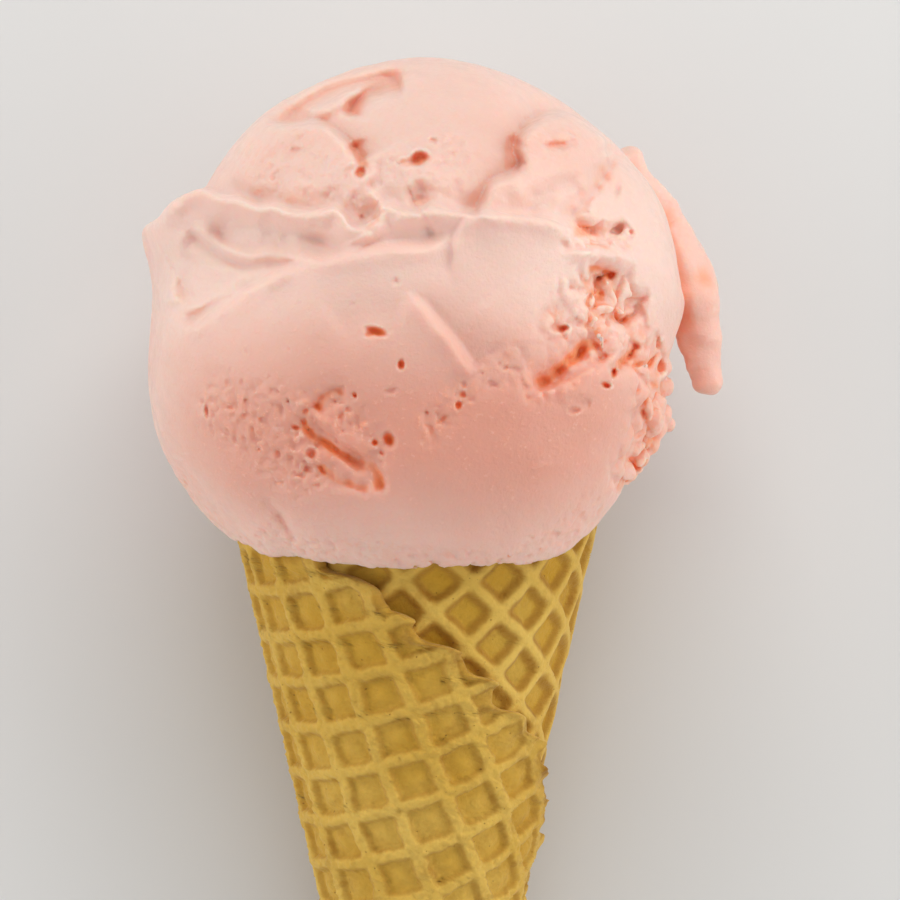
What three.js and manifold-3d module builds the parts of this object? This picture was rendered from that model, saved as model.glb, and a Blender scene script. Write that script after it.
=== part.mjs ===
// An ice cream cone: one generous scoop pressed onto a rolled sugar wafer cone, lying on its side.
// Lengths are in millimetres and angles in radians unless a name says otherwise.
// Both pieces are shaped upright: x to the right, y up the cone's axis from the rim, z towards the shown side.
// The finished group is then laid down, so that the shown side faces up and the scoop and the tip rest on z = 0.
import * as THREE from "three";
import { mergeVertices } from "three/addons/utils/BufferGeometryUtils.js";
import Module from "manifold-3d";

const wasm = await Module();
wasm.setup();

// Driving dimensions of the wafer cone
const RIM_RADIUS = 26;
const APEX_DEPTH = 127.2; // from the rim down to where the straight sides would meet
const TIP_RADIUS = 2.6; // the rolled end is blunt
const LAYER = 1.6; // one thickness of wafer
const LAP_UNDER = 0.5; // how far inside the plain cone the wafer lies where it slips under its own lap
const TIP_TAPER = 12; // over this length the winding thins out into the tip
const CAVITY_TIP_RADIUS = 1.5; // how narrow the hollow gets before the wafer closes it
const LAP_DISC = 145; // the wafer is baked as a disc of this diameter, and its edge is the visible lap
const LAP_DISC_TURN = THREE.MathUtils.degToRad(-38);
const LAP_NIBBLE = 0.022; // how far the broken lap edge wanders, in radians on the flat wafer
const LAP_WAVES = [0.9, 0.37]; // the two waves along the cone that make it wander
const LAP_COVER = THREE.MathUtils.degToRad(24); // stretch of the outermost turn that hides the one below

// The pressed grid, drawn on the flat wafer before it is rolled
const GRID_PITCH = 6.66;
const GRID_ZERO = THREE.MathUtils.degToRad(-99.6); // the azimuth where the ribs run straight round the cone
const GRID_OFFSET = [4.0, 6.1];
const TURN_ON_WAFER = THREE.MathUtils.degToRad(68.5); // what one turn of the cone uses up of the flat wafer
const CELL_MOUTH = 5.2;
const CELL_FLOOR = 4.0;
const CELL_DEPTH = 0.95;
const RIM_BAND = 3.4; // plain wafer round the rim, where the cream covers it
const LAP_OVERRUN = 0.5; // cells whose middle lies up to this share of a cell past the lap still notch its edge
const WAFER_SIDES = 24;
const WAFER_ROWS = 10;

// Driving dimensions of the ice cream
const SEAT = { x: -1, y: 20, z: 0, side: 37, front: 35.5, above: 43, power: 2.2 };
const DOME = { x: 2.2, y: 31.5, z: -1, side: 34.4, front: 33.5, height: 31, power: 1.8, tilt: -0.08 };
// heights of the scoop's lip and depths of its underside, every 45 degrees from the front towards the right
const LIP_HEIGHTS = [43.5, 40, 29.5, 31, 36.5, 38.5, 39.3, 45.8];
const SEAT_DEPTHS = [35, 32.8, 27.4, 30, 31, 31.5, 32.6, 33.4];
const LIP_ROUNDING = 3.4;
const LIP_FLARE = 1.2;
const LIP_FLARE_LEFT = 1.6;
const LIP_FLARE_DEPTH = 6;
const BLEND = 1.4;
const BALL_DETAIL = 14;
const FRONT_CROWDING = 0.33; // pulls the facets towards the shown side, where the folds are
const LUMP_SIZE = 17; // the broad unevenness of the whole scoop
const LUMP_HEIGHT = 0.35;
const PLUG_TOP = 6; // the cream inside the cone reaches this far above the rim, into the scoop
const GAP = 0.3; // between the cream and the wafer
const FACET_SLACK = 1.8; // round walls are faceted, so the gap between them is a little wider
const TURNED_SIDES = 32;
const PLUG_SHORT = 4; // the cream stops this far above the end of the hollow
const PLUG_TIP_RADIUS = 0.4;

// How the cone lies
const REST_RADIUS = 34.5;
const REST_HEIGHT = 22;
const TIP_FLAT = 0.15; // how deep the floor flattens the tip

const SIN_HALF = RIM_RADIUS / Math.hypot(RIM_RADIUS, APEX_DEPTH);
const COS_HALF = APEX_DEPTH / Math.hypot(RIM_RADIUS, APEX_DEPTH);
const RIM_SLANT = Math.hypot(RIM_RADIUS, APEX_DEPTH);
const TIP_SLANT = TIP_RADIUS / SIN_HALF;
const CAVITY_TIP_SLANT = (CAVITY_TIP_RADIUS + LAP_UNDER + LAYER) / SIN_HALF;
const LEAN = Math.asin((REST_RADIUS - TIP_RADIUS) / (REST_HEIGHT + APEX_DEPTH - TIP_SLANT * COS_HALF));

const smoothstep = THREE.MathUtils.smoothstep;

function smoothMin(a, b, width) {
  const near = Math.max(width - Math.abs(a - b), 0) / width;
  return Math.min(a, b) - (near * near * width) / 4;
}

// A closed geometry as a solid that can be joined and cut.
function toSolid(geometry) {
  const bare = geometry.clone();
  bare.deleteAttribute("normal");
  bare.deleteAttribute("uv");
  const merged = mergeVertices(bare, 1e-4);
  return new wasm.Manifold(
    new wasm.Mesh({
      numProp: 3,
      vertProperties: merged.attributes.position.array,
      triVerts: new Uint32Array(merged.index.array),
    }),
  );
}

function toGeometry(solid) {
  const mesh = solid.getMesh();
  const positions = new Float32Array(mesh.numVert * 3);
  for (let i = 0; i < mesh.numVert; i++) {
    positions.set(mesh.vertProperties.subarray(i * mesh.numProp, i * mesh.numProp + 3), i * 3);
  }
  const geometry = new THREE.BufferGeometry();
  geometry.setAttribute("position", new THREE.BufferAttribute(positions, 3));
  geometry.setIndex(new THREE.BufferAttribute(mesh.triVerts, 1));
  geometry.computeVertexNormals();
  return geometry;
}

const join = (solids) => solids.reduce((whole, piece) => whole.add(piece));

// The rolled wafer

// A point on the cone at a slant distance from the apex and an azimuth, pushed out from the plain cone.
function onCone(slant, azimuth, push) {
  const radius = slant * SIN_HALF + push;
  return new THREE.Vector3(
    radius * Math.sin(azimuth),
    slant * COS_HALF - APEX_DEPTH,
    radius * Math.cos(azimuth),
  );
}

// The azimuth of the lap edge, where the outermost turn ends: the rim of the disc, nibbled by the iron.
function lapAzimuth(slant) {
  const nibble = Math.sin(slant * LAP_WAVES[0]) * Math.sin(slant * LAP_WAVES[1] + 1) * LAP_NIBBLE;
  return (LAP_DISC_TURN + Math.acos(Math.min(slant / LAP_DISC, 1)) + nibble) / SIN_HALF;
}

// The outermost turn winds outwards, so the surface grows by one layer from the lap round to the lap again.
const windOut = (turn) => (LAYER * turn) / (2 * Math.PI) - LAP_UNDER;

// One loop of the shell: points every few degrees of azimuth, from one side of the lap round to the other.
function loopAround(slant, start, push) {
  const step = (2 * Math.PI) / WAFER_SIDES;
  const turns = [0];
  for (let n = Math.floor(start / step) + 1; n * step < start + 2 * Math.PI - step / 4; n++) {
    if (n * step - start > step / 4) turns.push(n * step - start);
  }
  turns.push(2 * Math.PI);
  return turns.map((turn) => ({ azimuth: start + turn, point: onCone(slant, start + turn, push(turn)) }));
}

function waferShell() {
  const loops = [];
  const tipBearing = Math.acos(TIP_SLANT / LAP_DISC);
  const rimBearing = Math.acos(RIM_SLANT / LAP_DISC);
  for (let row = 0; row <= WAFER_ROWS; row++) {
    const slant = LAP_DISC * Math.cos(THREE.MathUtils.lerp(tipBearing, rimBearing, row / WAFER_ROWS));
    const taper = smoothstep(slant, TIP_SLANT, TIP_SLANT + TIP_TAPER);
    loops.push(loopAround(slant, lapAzimuth(slant), (turn) => windOut(turn) * taper));
  }
  for (const slant of [RIM_SLANT, CAVITY_TIP_SLANT]) {
    loops.push(loopAround(slant, lapAzimuth(RIM_SLANT), () => -LAP_UNDER - LAYER));
  }
  const first = loops[0];
  const last = loops[loops.length - 1];
  const tipEnd = new THREE.Vector3(0, first[0].point.y - TIP_RADIUS / 2, 0);
  const cavityEnd = new THREE.Vector3(0, last[0].point.y, 0);
  const corners = [];
  for (let n = 0; n + 1 < loops.length; n++) {
    const [low, high] = [loops[n], loops[n + 1]];
    let [i, j] = [0, 0];
    while (i + 1 < low.length || j + 1 < high.length) {
      const lowNext = i + 1 < low.length ? low[i + 1].azimuth : Infinity;
      const highNext = j + 1 < high.length ? high[j + 1].azimuth : Infinity;
      if (lowNext <= highNext) corners.push(low[i].point, low[++i].point, high[j].point);
      else corners.push(low[i].point, high[j + 1].point, high[j++].point);
    }
    const [lowEnd, highEnd] = [low[low.length - 1].point, high[high.length - 1].point];
    corners.push(lowEnd, low[0].point, high[0].point, lowEnd, high[0].point, highEnd);
  }
  for (let i = 0; i < first.length; i++) {
    corners.push(tipEnd, first[(i + 1) % first.length].point, first[i].point);
  }
  for (let i = 0; i < last.length; i++) {
    corners.push(cavityEnd, last[i].point, last[(i + 1) % last.length].point);
  }
  return toSolid(new THREE.BufferGeometry().setFromPoints(corners));
}

// One pressed cell as a cutter: a square frustum, narrow side inwards, reaching well clear of the surface.
function cellCutter() {
  const clear = 1;
  const slope = (CELL_MOUTH - CELL_FLOOR) / CELL_DEPTH;
  const box = new THREE.BoxGeometry(1, 1, CELL_DEPTH + clear);
  box.translate(0, 0, (clear - CELL_DEPTH) / 2);
  const position = box.getAttribute("position");
  for (let i = 0; i < position.count; i++) {
    const width = CELL_MOUTH + slope * position.getZ(i);
    position.setXY(i, position.getX(i) * width, position.getY(i) * width);
  }
  return box;
}

// A solid over the last stretch of the outermost turn, up to its lap edge: what lies under the lap is hidden.
function overLap() {
  const height = 4;
  const corners = [];
  const rows = [];
  for (let row = 0; row <= WAFER_ROWS; row++) {
    const slant = THREE.MathUtils.lerp(TIP_SLANT, RIM_SLANT, row / WAFER_ROWS);
    const edge = lapAzimuth(slant);
    rows.push([
      onCone(slant, edge - LAP_COVER, -LAYER),
      onCone(slant, edge, -LAYER),
      onCone(slant, edge, height),
      onCone(slant, edge - LAP_COVER, height),
    ]);
  }
  for (let row = 0; row < WAFER_ROWS; row++) {
    for (let side = 0; side < 4; side++) {
      const next = (side + 1) % 4;
      corners.push(rows[row][side], rows[row + 1][side], rows[row][next]);
      corners.push(rows[row][next], rows[row + 1][side], rows[row + 1][next]);
    }
  }
  const [low, high] = [rows[0], rows[WAFER_ROWS]];
  corners.push(low[0], low[1], low[2], low[0], low[2], low[3]);
  corners.push(high[0], high[2], high[1], high[0], high[3], high[2]);
  return toSolid(new THREE.BufferGeometry().setFromPoints(corners));
}

// The cells of the grid on the outermost turn, as one solid to take away.
function pressedCells() {
  const whole = [];
  const underLap = [];
  const reach = Math.ceil(RIM_SLANT / GRID_PITCH);
  for (let i = -reach; i <= reach; i++) {
    for (let j = -reach * 2; j <= reach; j++) {
      const centre = new THREE.Vector2(i + 0.5, j + 0.5).multiplyScalar(GRID_PITCH);
      centre.add(new THREE.Vector2(...GRID_OFFSET));
      const slant = centre.length();
      if (slant < TIP_SLANT + CELL_MOUTH || slant > RIM_SLANT - CELL_MOUTH / 2 - RIM_BAND) continue;
      const onWafer = Math.atan2(centre.y, centre.x);
      const wound = GRID_ZERO + (onWafer / TURN_ON_WAFER) * 2 * Math.PI;
      const turn = wound - lapAzimuth(slant) + 2 * Math.PI;
      const cell = GRID_PITCH / (slant * SIN_HALF);
      if (turn < -cell * LAP_OVERRUN || turn > 2 * Math.PI + cell * LAP_OVERRUN) continue;
      const cutter = cellCutter();
      const frame = new THREE.Matrix4().makeBasis(
        new THREE.Vector3(Math.cos(wound), 0, -Math.sin(wound)),
        new THREE.Vector3(SIN_HALF * Math.sin(wound), COS_HALF, SIN_HALF * Math.cos(wound)),
        new THREE.Vector3(COS_HALF * Math.sin(wound), -SIN_HALF, COS_HALF * Math.cos(wound)),
      );
      cutter.rotateZ(onWafer);
      cutter.applyMatrix4(frame.setPosition(onCone(slant, wound, windOut(turn))));
      (turn < cell ? underLap : whole).push(toSolid(cutter));
    }
  }
  return join(underLap).subtract(overLap()).add(join(whole));
}

// The ice cream

// Where the eye, in front of the cone and a little above it, sees a point: the folds are laid out on that picture.
const EYE_LIFT = THREE.MathUtils.degToRad(6);
const EYE_DISTANCE = 600;
const EYE_AIM = [4.4, 7.1];
function seen(x, y, z) {
  const depth = y * Math.sin(EYE_LIFT) + z * Math.cos(EYE_LIFT);
  const height = y * Math.cos(EYE_LIFT) - z * Math.sin(EYE_LIFT);
  const magnified = EYE_DISTANCE / (EYE_DISTANCE - depth);
  return [EYE_AIM[0] + (x - EYE_AIM[0]) * magnified, EYE_AIM[1] + (height - EYE_AIM[1]) * magnified];
}

const FOLD_EDGE = 3; // how wide the drop of a fold's edge is
const FOLD_LIP = 0.15; // how proud the edge itself stands, as a share of the drop
const FOLD_LIP_REACH = 2;
const END_FADE = 0.18; // strokes fade out over this share of their length

// Folds, each a line on the picture: the cream on the left of the line, walking along it, falls away by drop, and
// comes back over the length fall. A negative drop falls away on the right.
const FOLDS = [
  {
    name: "front lobe",
    line: [[-34.2, 23.6], [-28, 27.7], [-22.2, 31.1], [-16.3, 33.7], [-9.2, 35.2], [2.4, 36.4], [6.1, 38.1]],
    drop: 4.4,
    fall: 6,
  },
  { name: "crease", line: [[7.5, 17.6], [5.1, 21.3], [1.6, 25.8], [-2.7, 29.8]], drop: -1.7, fall: 7 },
  {
    name: "left shoulder",
    line: [[-8.7, 45.2], [-8.9, 47.9], [-10.5, 50.7], [-12.9, 52.5], [-18, 53.6]],
    drop: -2.6,
    fall: 5,
  },
  {
    name: "right curl",
    line: [[8.6, 41.2], [11.1, 44.3], [13.3, 47.6], [14.3, 51.1], [19.3, 55], [24, 54]],
    drop: 2.6,
    fall: 5,
  },
];

// Furrows and ridges along a line: a negative depth stands proud.
const FURROWS = [
  { name: "top groove", line: [[-19.3, 55], [-14, 57], [-8, 58.6], [-3, 60]], depth: 1.5, half: 2.2 },
  { name: "curl groove", line: [[25.7, 52.5], [26.1, 49.7], [25, 46.6], [19.6, 40.9]], depth: 1.6, half: 2.1 },
  {
    name: "lip ridge",
    line: [[-31.5, 40.5], [-25, 41], [-17, 40], [-11.5, 39.2], [-5, 41], [2, 40.4], [8.6, 40]],
    depth: -1.7,
    half: 2.4,
  },
  { name: "valley fold", line: [[-31.5, 37.5], [-28, 34.5], [-23.7, 33.8], [-15, 34.5]], depth: -1.3, half: 2 },
  { name: "flake edge", line: [[-16.3, 10.2], [-12.9, 6.8], [-9.6, 5], [-6, 3.4]], depth: 2, half: 2.2 },
  { name: "torn cut", line: [[17.2, 16.3], [22.2, 19.2], [26.4, 22], [29.3, 24.1]], depth: 2.5, half: 2.3 },
  { name: "recess", line: [[20, 37.8], [24, 36.6], [28, 35.6]], depth: 2.2, half: 2.4 },
];

const PITS = [
  { at: [-0.4, 46.2], half: 3.4, depth: 1.6 },
  { at: [-12, 12], half: 4, depth: 1 },
  { at: [26.7, 29.5], half: 3, depth: 2.4 },
];

// Torn, crumbly cream: lumps over an area of the picture.
const TORN = [
  { at: [25.5, 23.5], reach: 9.5, lump: 4.8, height: 1 },
  { at: [-21.9, 10.7], reach: 7, lump: 4.4, height: 0.5 },
];

// Crumbs and nubs along the right edge, each a ball sunk in the side.
const NUBS = [
  { at: [34.1, 12.6, 4], radius: 2.6 },
  { at: [32.3, 9.2, 6], radius: 2.3 },
  { at: [30.8, 6.4, 7], radius: 2 },
  { at: [33.4, 12, -2], radius: 2.2 },
];

// How far a picture point lies from a line, on which side, and how far along it, as a share.
function nearLine(line, a, b) {
  let best = { distance: Infinity, side: 1, along: 0 };
  for (let i = 0; i + 1 < line.length; i++) {
    const [ax, ay] = line[i];
    const [dx, dy] = [line[i + 1][0] - ax, line[i + 1][1] - ay];
    const share = THREE.MathUtils.clamp(((a - ax) * dx + (b - ay) * dy) / (dx * dx + dy * dy), 0, 1);
    const distance = Math.hypot(a - ax - dx * share, b - ay - dy * share);
    if (distance < best.distance) {
      const side = dx * (b - ay) - dy * (a - ax) > 0 ? 1 : -1;
      best = { distance, side, along: (i + share) / (line.length - 1) };
    }
  }
  return best;
}

// Fades a stroke out over its two ends.
const ends = (along) => smoothstep(along, 0, END_FADE) * smoothstep(1 - along, 0, END_FADE);

function foldRelief({ line, drop, fall }, a, b) {
  const { distance, side, along } = nearLine(line, a, b);
  const low = side * Math.sign(drop) > 0;
  const lowered = -smoothstep(distance, 0, FOLD_EDGE) * Math.exp(-distance / fall);
  const proud = FOLD_LIP * Math.exp(-distance / FOLD_LIP_REACH);
  return (low ? lowered : proud) * Math.abs(drop) * ends(along);
}

function furrowRelief({ line, depth, half }, a, b) {
  const { distance, along } = nearLine(line, a, b);
  return -depth * Math.exp(-((distance / half) ** 2)) * ends(along);
}

function pitRelief({ at, half, depth }, a, b) {
  const share = Math.hypot(a - at[0], b - at[1]) / half;
  return share < 1 ? -depth * (1 - share * share) ** 2 : 0;
}

// Lumps from three crossed waves, so that no two neighbours are alike.
function lumps(a, b, size) {
  const turn = (2 * Math.PI) / size;
  const wave = Math.sin(a * turn + Math.sin(b * 0.7)) + Math.sin(b * turn * 1.1 + 1.3 * Math.sin(a * 0.5));
  return (wave + Math.sin((a + b) * turn * 0.63)) / 3;
}

function tornRelief({ at, reach, lump, height }, a, b) {
  const share = Math.hypot(a - at[0], b - at[1]) / reach;
  return share < 1 ? height * lumps(a, b, lump) * (1 - share * share) : 0;
}

// The relief of one side, as its picture shows it.
function pictureRelief(a, b) {
  let rise = 0;
  for (const fold of FOLDS) rise += foldRelief(fold, a, b);
  for (const furrow of FURROWS) rise += furrowRelief(furrow, a, b);
  for (const pit of PITS) rise += pitRelief(pit, a, b);
  for (const patch of TORN) rise += tornRelief(patch, a, b);
  return rise;
}

// The far side was never shown: it has the same kinds of fold, turned half round.
function relief(x, y, z) {
  const front = smoothstep(z, 0, 9);
  const back = smoothstep(-z, 4, 13) * 0.6;
  let rise = LUMP_HEIGHT * lumps(x + 0.4 * z, y - 0.3 * z, LUMP_SIZE);
  if (front > 0) rise += front * pictureRelief(...seen(x, y, z));
  if (back > 0) rise += back * pictureRelief(-x, y + 2);
  return rise;
}

// A value given every 45 degrees round the scoop, at any azimuth between.
function around(values, azimuth) {
  const place = (azimuth / (2 * Math.PI) + 1) * values.length;
  const i = Math.floor(place);
  const next = values[(i + 1) % values.length];
  return THREE.MathUtils.lerp(values[i % values.length], next, smoothstep(place - i, 0, 1));
}

// The two masses of the scoop: how far outside each a point lies, roughly in millimetres.
function seatMass(x, y, z) {
  const azimuth = Math.atan2(x, z);
  const lip = around(LIP_HEIGHTS, azimuth);
  const depth = around(SEAT_DEPTHS, azimuth);
  const leftness = smoothstep(-Math.sin(azimuth), 0.5, 1);
  const flare = (LIP_FLARE + LIP_FLARE_LEFT * leftness) * Math.exp(-(((lip - y) / LIP_FLARE_DEPTH) ** 2));
  const round = Math.hypot((x - SEAT.x) / SEAT.side, (z - SEAT.z) / SEAT.front);
  const level = Math.abs(y - SEAT.y) / (y < SEAT.y ? depth : SEAT.above);
  const body = (Math.pow(round ** SEAT.power + level ** SEAT.power, 1 / SEAT.power) - 1) * depth - flare;
  return -smoothMin(-body, lip - y, LIP_ROUNDING);
}

function domeMass(x, y, z) {
  const up = y - DOME.y;
  const round = Math.hypot((x - DOME.x - DOME.tilt * up) / DOME.side, (z - DOME.z) / DOME.front);
  const level = Math.abs(up) / DOME.height;
  return (Math.pow(round ** DOME.power + level ** DOME.power, 1 / DOME.power) - 1) * DOME.height;
}

function scoopMass(x, y, z) {
  let out = smoothMin(domeMass(x, y, z), seatMass(x, y, z), BLEND);
  for (const { at, radius } of NUBS) {
    out = smoothMin(out, Math.hypot(x - at[0], y - at[1], z - at[2]) - radius, 1);
  }
  return out - relief(x, y, z);
}

// The scoop: from its middle, each ray is walked inwards until it meets the cream.
function scoopBall() {
  const heart = new THREE.Vector3(0, 22, 0);
  const far = 60;
  const step = 0.8;
  const halvings = 12;
  const ball = new THREE.IcosahedronGeometry(1, BALL_DETAIL);
  const position = ball.getAttribute("position");
  const ray = new THREE.Vector3();
  const outside = (distance) =>
    scoopMass(heart.x + ray.x * distance, heart.y + ray.y * distance, heart.z + ray.z * distance) > 0;
  for (let i = 0; i < position.count; i++) {
    ray.fromBufferAttribute(position, i);
    ray.z += FRONT_CROWDING;
    ray.normalize();
    let outer = far;
    while (outside(outer - step)) outer -= step;
    let inner = outer - step;
    for (let n = 0; n < halvings; n++) {
      const middle = (inner + outer) / 2;
      if (outside(middle)) outer = middle;
      else inner = middle;
    }
    position.setXYZ(i, heart.x + ray.x * inner, heart.y + ray.y * inner, heart.z + ray.z * inner);
  }
  return toSolid(ball);
}

// The soft tongue that has slipped down the right side: a sphere drawn out along a curve.
function tongue() {
  const path = new THREE.CatmullRomCurve3([
    new THREE.Vector3(27.5, 47, -11),
    new THREE.Vector3(34, 41, -11),
    new THREE.Vector3(37.4, 34, -11),
    new THREE.Vector3(39.8, 27.5, -10.5),
    new THREE.Vector3(40.6, 21, -10),
    new THREE.Vector3(41.5, 14.2, -9.5),
  ]);
  const widths = [2.2, 3, 3.7, 4.1, 3.1, 1.9];
  const flatten = 0.8;
  const sides = 12;
  const skin = new THREE.SphereGeometry(1, sides, 14);
  const position = skin.getAttribute("position");
  const up = new THREE.Vector3(0, 0, 1);
  for (let i = 0; i < position.count; i++) {
    const share = Math.acos(THREE.MathUtils.clamp(position.getY(i), -1, 1)) / Math.PI;
    const turn = Math.atan2(position.getZ(i), position.getX(i));
    const place = share * (widths.length - 1);
    const slot = Math.min(Math.floor(place), widths.length - 2);
    const width = THREE.MathUtils.lerp(widths[slot], widths[slot + 1], place - slot);
    const round = Math.sqrt(Math.max(1 - (2 * share - 1) ** 6, 0));
    const along = path.getTangent(share);
    const side = new THREE.Vector3().crossVectors(up, along).normalize();
    const point = path.getPoint(share);
    const atPole = i <= sides || i >= position.count - sides - 1;
    const polar = atPole ? 0 : round * width;
    point.addScaledVector(side, polar * flatten * Math.cos(turn));
    point.addScaledVector(up, polar * Math.sin(turn));
    position.setXYZ(i, point.x, point.y, point.z);
  }
  return toSolid(skin);
}

// A plain turned cone between the tip and a height above the rim, larger or smaller than the wafer's own line.
function turnedCone(push, top, bottomSlant) {
  const radiusAt = (height) => (height + APEX_DEPTH) * (RIM_RADIUS / APEX_DEPTH) + push;
  const bottom = bottomSlant * COS_HALF - APEX_DEPTH;
  const profile = [
    new THREE.Vector2(0, bottom),
    new THREE.Vector2(Math.max(radiusAt(bottom), PLUG_TIP_RADIUS), bottom),
    new THREE.Vector2(radiusAt(0), 0),
    new THREE.Vector2(radiusAt(0), top),
    new THREE.Vector2(0, top),
  ];
  return toSolid(new THREE.LatheGeometry(profile, TURNED_SIDES));
}

function iceCream() {
  const clearOfWafer = turnedCone(LAYER - LAP_UNDER + GAP * FACET_SLACK, GAP, TIP_SLANT);
  const plug = turnedCone(-LAYER - LAP_UNDER - GAP * FACET_SLACK, PLUG_TOP, CAVITY_TIP_SLANT + PLUG_SHORT);
  return join([scoopBall(), tongue()]).subtract(clearOfWafer).add(plug);
}

// Laying the cone down

const layDown = new THREE.Matrix4().makeRotationX(LEAN);

// Everything below a height in the laid-down frame, told in the upright one.
function groundBelow(height) {
  const size = 400;
  const ground = new THREE.BoxGeometry(size, size, size);
  ground.translate(0, 0, height - size / 2);
  ground.applyMatrix4(layDown.clone().invert());
  return toSolid(ground);
}

function layOnTheFloor(pieces, floor) {
  const laid = new THREE.Group();
  laid.add(...pieces);
  laid.applyMatrix4(layDown);
  laid.updateMatrixWorld(true);
  const middle = new THREE.Box3().setFromObject(laid, true).getCenter(new THREE.Vector3());
  laid.position.set(-middle.x, -middle.y, -floor);
  return laid;
}

function piece(name, solid, color, roughness) {
  const mesh = new THREE.Mesh(
    toGeometry(solid),
    new THREE.MeshStandardMaterial({ color, roughness, metalness: 0 }),
  );
  mesh.name = name;
  return mesh;
}

function buildCone() {
  const lowestTip = (TIP_SLANT * COS_HALF - APEX_DEPTH) * Math.sin(LEAN) - TIP_RADIUS * Math.cos(LEAN);
  const floor = lowestTip + TIP_FLAT;
  const ground = groundBelow(floor);
  const wafer = waferShell().subtract(pressedCells()).subtract(ground);
  const cream = iceCream().subtract(ground);
  const cone = new THREE.Group();
  cone.add(layOnTheFloor([
    piece("wafer_cone", wafer, 0xc79a3c, 0.75),
    piece("ice_cream", cream, 0xedb8a4, 0.45),
  ], floor));
  return cone;
}

export default buildCone();
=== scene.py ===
"""An ice cream cone lying on its side: one torn, folded scoop pressed onto a rolled sugar wafer.

Both pieces are worked out upright, in millimetres: x to the right, y up the axis from the middle of
the wafer's rim, z towards the shown side. laid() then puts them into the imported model's frame, in metres.
Marks on the ice cream are drawn on a picture of the shown side, in pixels of a picture 900 wide and 900 high.
"""

import math

import bpy
import numpy as np
from bpy.props import FloatProperty, FloatVectorProperty, IntProperty, PointerProperty
from bpy.types import Operator, Panel, PropertyGroup
from mathutils import Matrix, Vector


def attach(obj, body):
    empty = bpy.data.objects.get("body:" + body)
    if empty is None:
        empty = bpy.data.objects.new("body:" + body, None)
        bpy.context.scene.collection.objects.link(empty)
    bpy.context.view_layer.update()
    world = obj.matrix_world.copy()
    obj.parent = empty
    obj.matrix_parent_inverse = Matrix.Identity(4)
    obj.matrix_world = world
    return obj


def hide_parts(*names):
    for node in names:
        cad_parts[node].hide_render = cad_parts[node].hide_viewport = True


bl_info = {
    "name": "Ice Cream Cone",
    "version": (1, 0, 0),
    "blender": (4, 5, 0),
    "location": "View3D > Sidebar > Cone",
    "description": "Dresses the packed cone: pressed wafer, torn ice cream and a plain stage",
    "category": "Object",
}

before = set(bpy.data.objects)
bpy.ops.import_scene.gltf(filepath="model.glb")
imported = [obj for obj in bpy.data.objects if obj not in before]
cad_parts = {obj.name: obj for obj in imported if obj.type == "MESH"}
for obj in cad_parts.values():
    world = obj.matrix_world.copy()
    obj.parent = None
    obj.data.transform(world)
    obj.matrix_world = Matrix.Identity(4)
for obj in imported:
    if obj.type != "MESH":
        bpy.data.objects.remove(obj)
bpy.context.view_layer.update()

# The rolled wafer, upright, in millimetres
RIM_RADIUS = 26.0
APEX_DEPTH = 127.2
RIM_SLANT = math.hypot(RIM_RADIUS, APEX_DEPTH)
SIN_HALF = RIM_RADIUS / RIM_SLANT
COS_HALF = APEX_DEPTH / RIM_SLANT
TIP_RADIUS = 2.6
TIP_SLANT = TIP_RADIUS / SIN_HALF
TIP_TAPER = 12.0
LAP_UNDER = 0.5

# The flat sheet before it is rolled: a disc this wide, whose edge becomes the lap, and its square grid.
# One turn round the cone uses up TURN_ON_WAFER of the sheet.
LAP_DISC = 145.0
LAP_DISC_TURN = math.radians(-38.0)
GRID_ZERO = math.radians(-99.6)
GRID_OFFSET = (4.0, 6.1)
TURN_ON_WAFER = math.radians(68.5)
SHEET_COLUMNS = 900
SHEET_ROWS = 380

# How the cone lies: turned about x by LEAN, with the middle of the rim at RIM_AT, in millimetres
LEAN = 0.2359161744
RIM_AT = np.array([-2.31115, 25.45700, 29.13584])

# The picture: the eye stands in front of the cone, a little above it
PICTURE = 900
PIXEL = 0.142
RIM_PIXEL = (419.0, 500.0)
EYE_LIFT = math.radians(6.0)
EYE_DISTANCE = 600.0
EYE_AIM = (4.4, 7.1)
SENSOR = 36.0

# The stage, in metres
FLOOR_HALF = 1.2
LIGHT_AIM = (0.0, 0.03, 0.035)
WORLD_STRENGTH = 0.34

MOST_TRIANGLES = 192000
LEAST_HEIGHT = 0.00001


def laid(points):
    """Upright millimetres as metres in the model's frame."""
    x, y, z = np.moveaxis(np.asarray(points, float), -1, 0)
    back = y * math.cos(LEAN) - z * math.sin(LEAN)
    up = y * math.sin(LEAN) + z * math.cos(LEAN)
    return (np.stack([x, back, up], -1) + RIM_AT) / 1000


def seen(points):
    """Where the eye sees each upright point: millimetres right of and above the middle of the rim."""
    x, y, z = np.moveaxis(points, -1, 0)
    depth = y * math.sin(EYE_LIFT) + z * math.cos(EYE_LIFT)
    height = y * math.cos(EYE_LIFT) - z * math.sin(EYE_LIFT)
    nearer = EYE_DISTANCE / (EYE_DISTANCE - depth)
    return EYE_AIM[0] + (x - EYE_AIM[0]) * nearer, EYE_AIM[1] + (height - EYE_AIM[1]) * nearer


def smooth(x, low=0.0, high=1.0):
    """Rises softly from 0 at low to 1 at high."""
    share = np.clip((x - low) / (high - low), 0.0, 1.0)
    return share * share * (3 - 2 * share)


# ---- Random lumps, the same on every run


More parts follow.
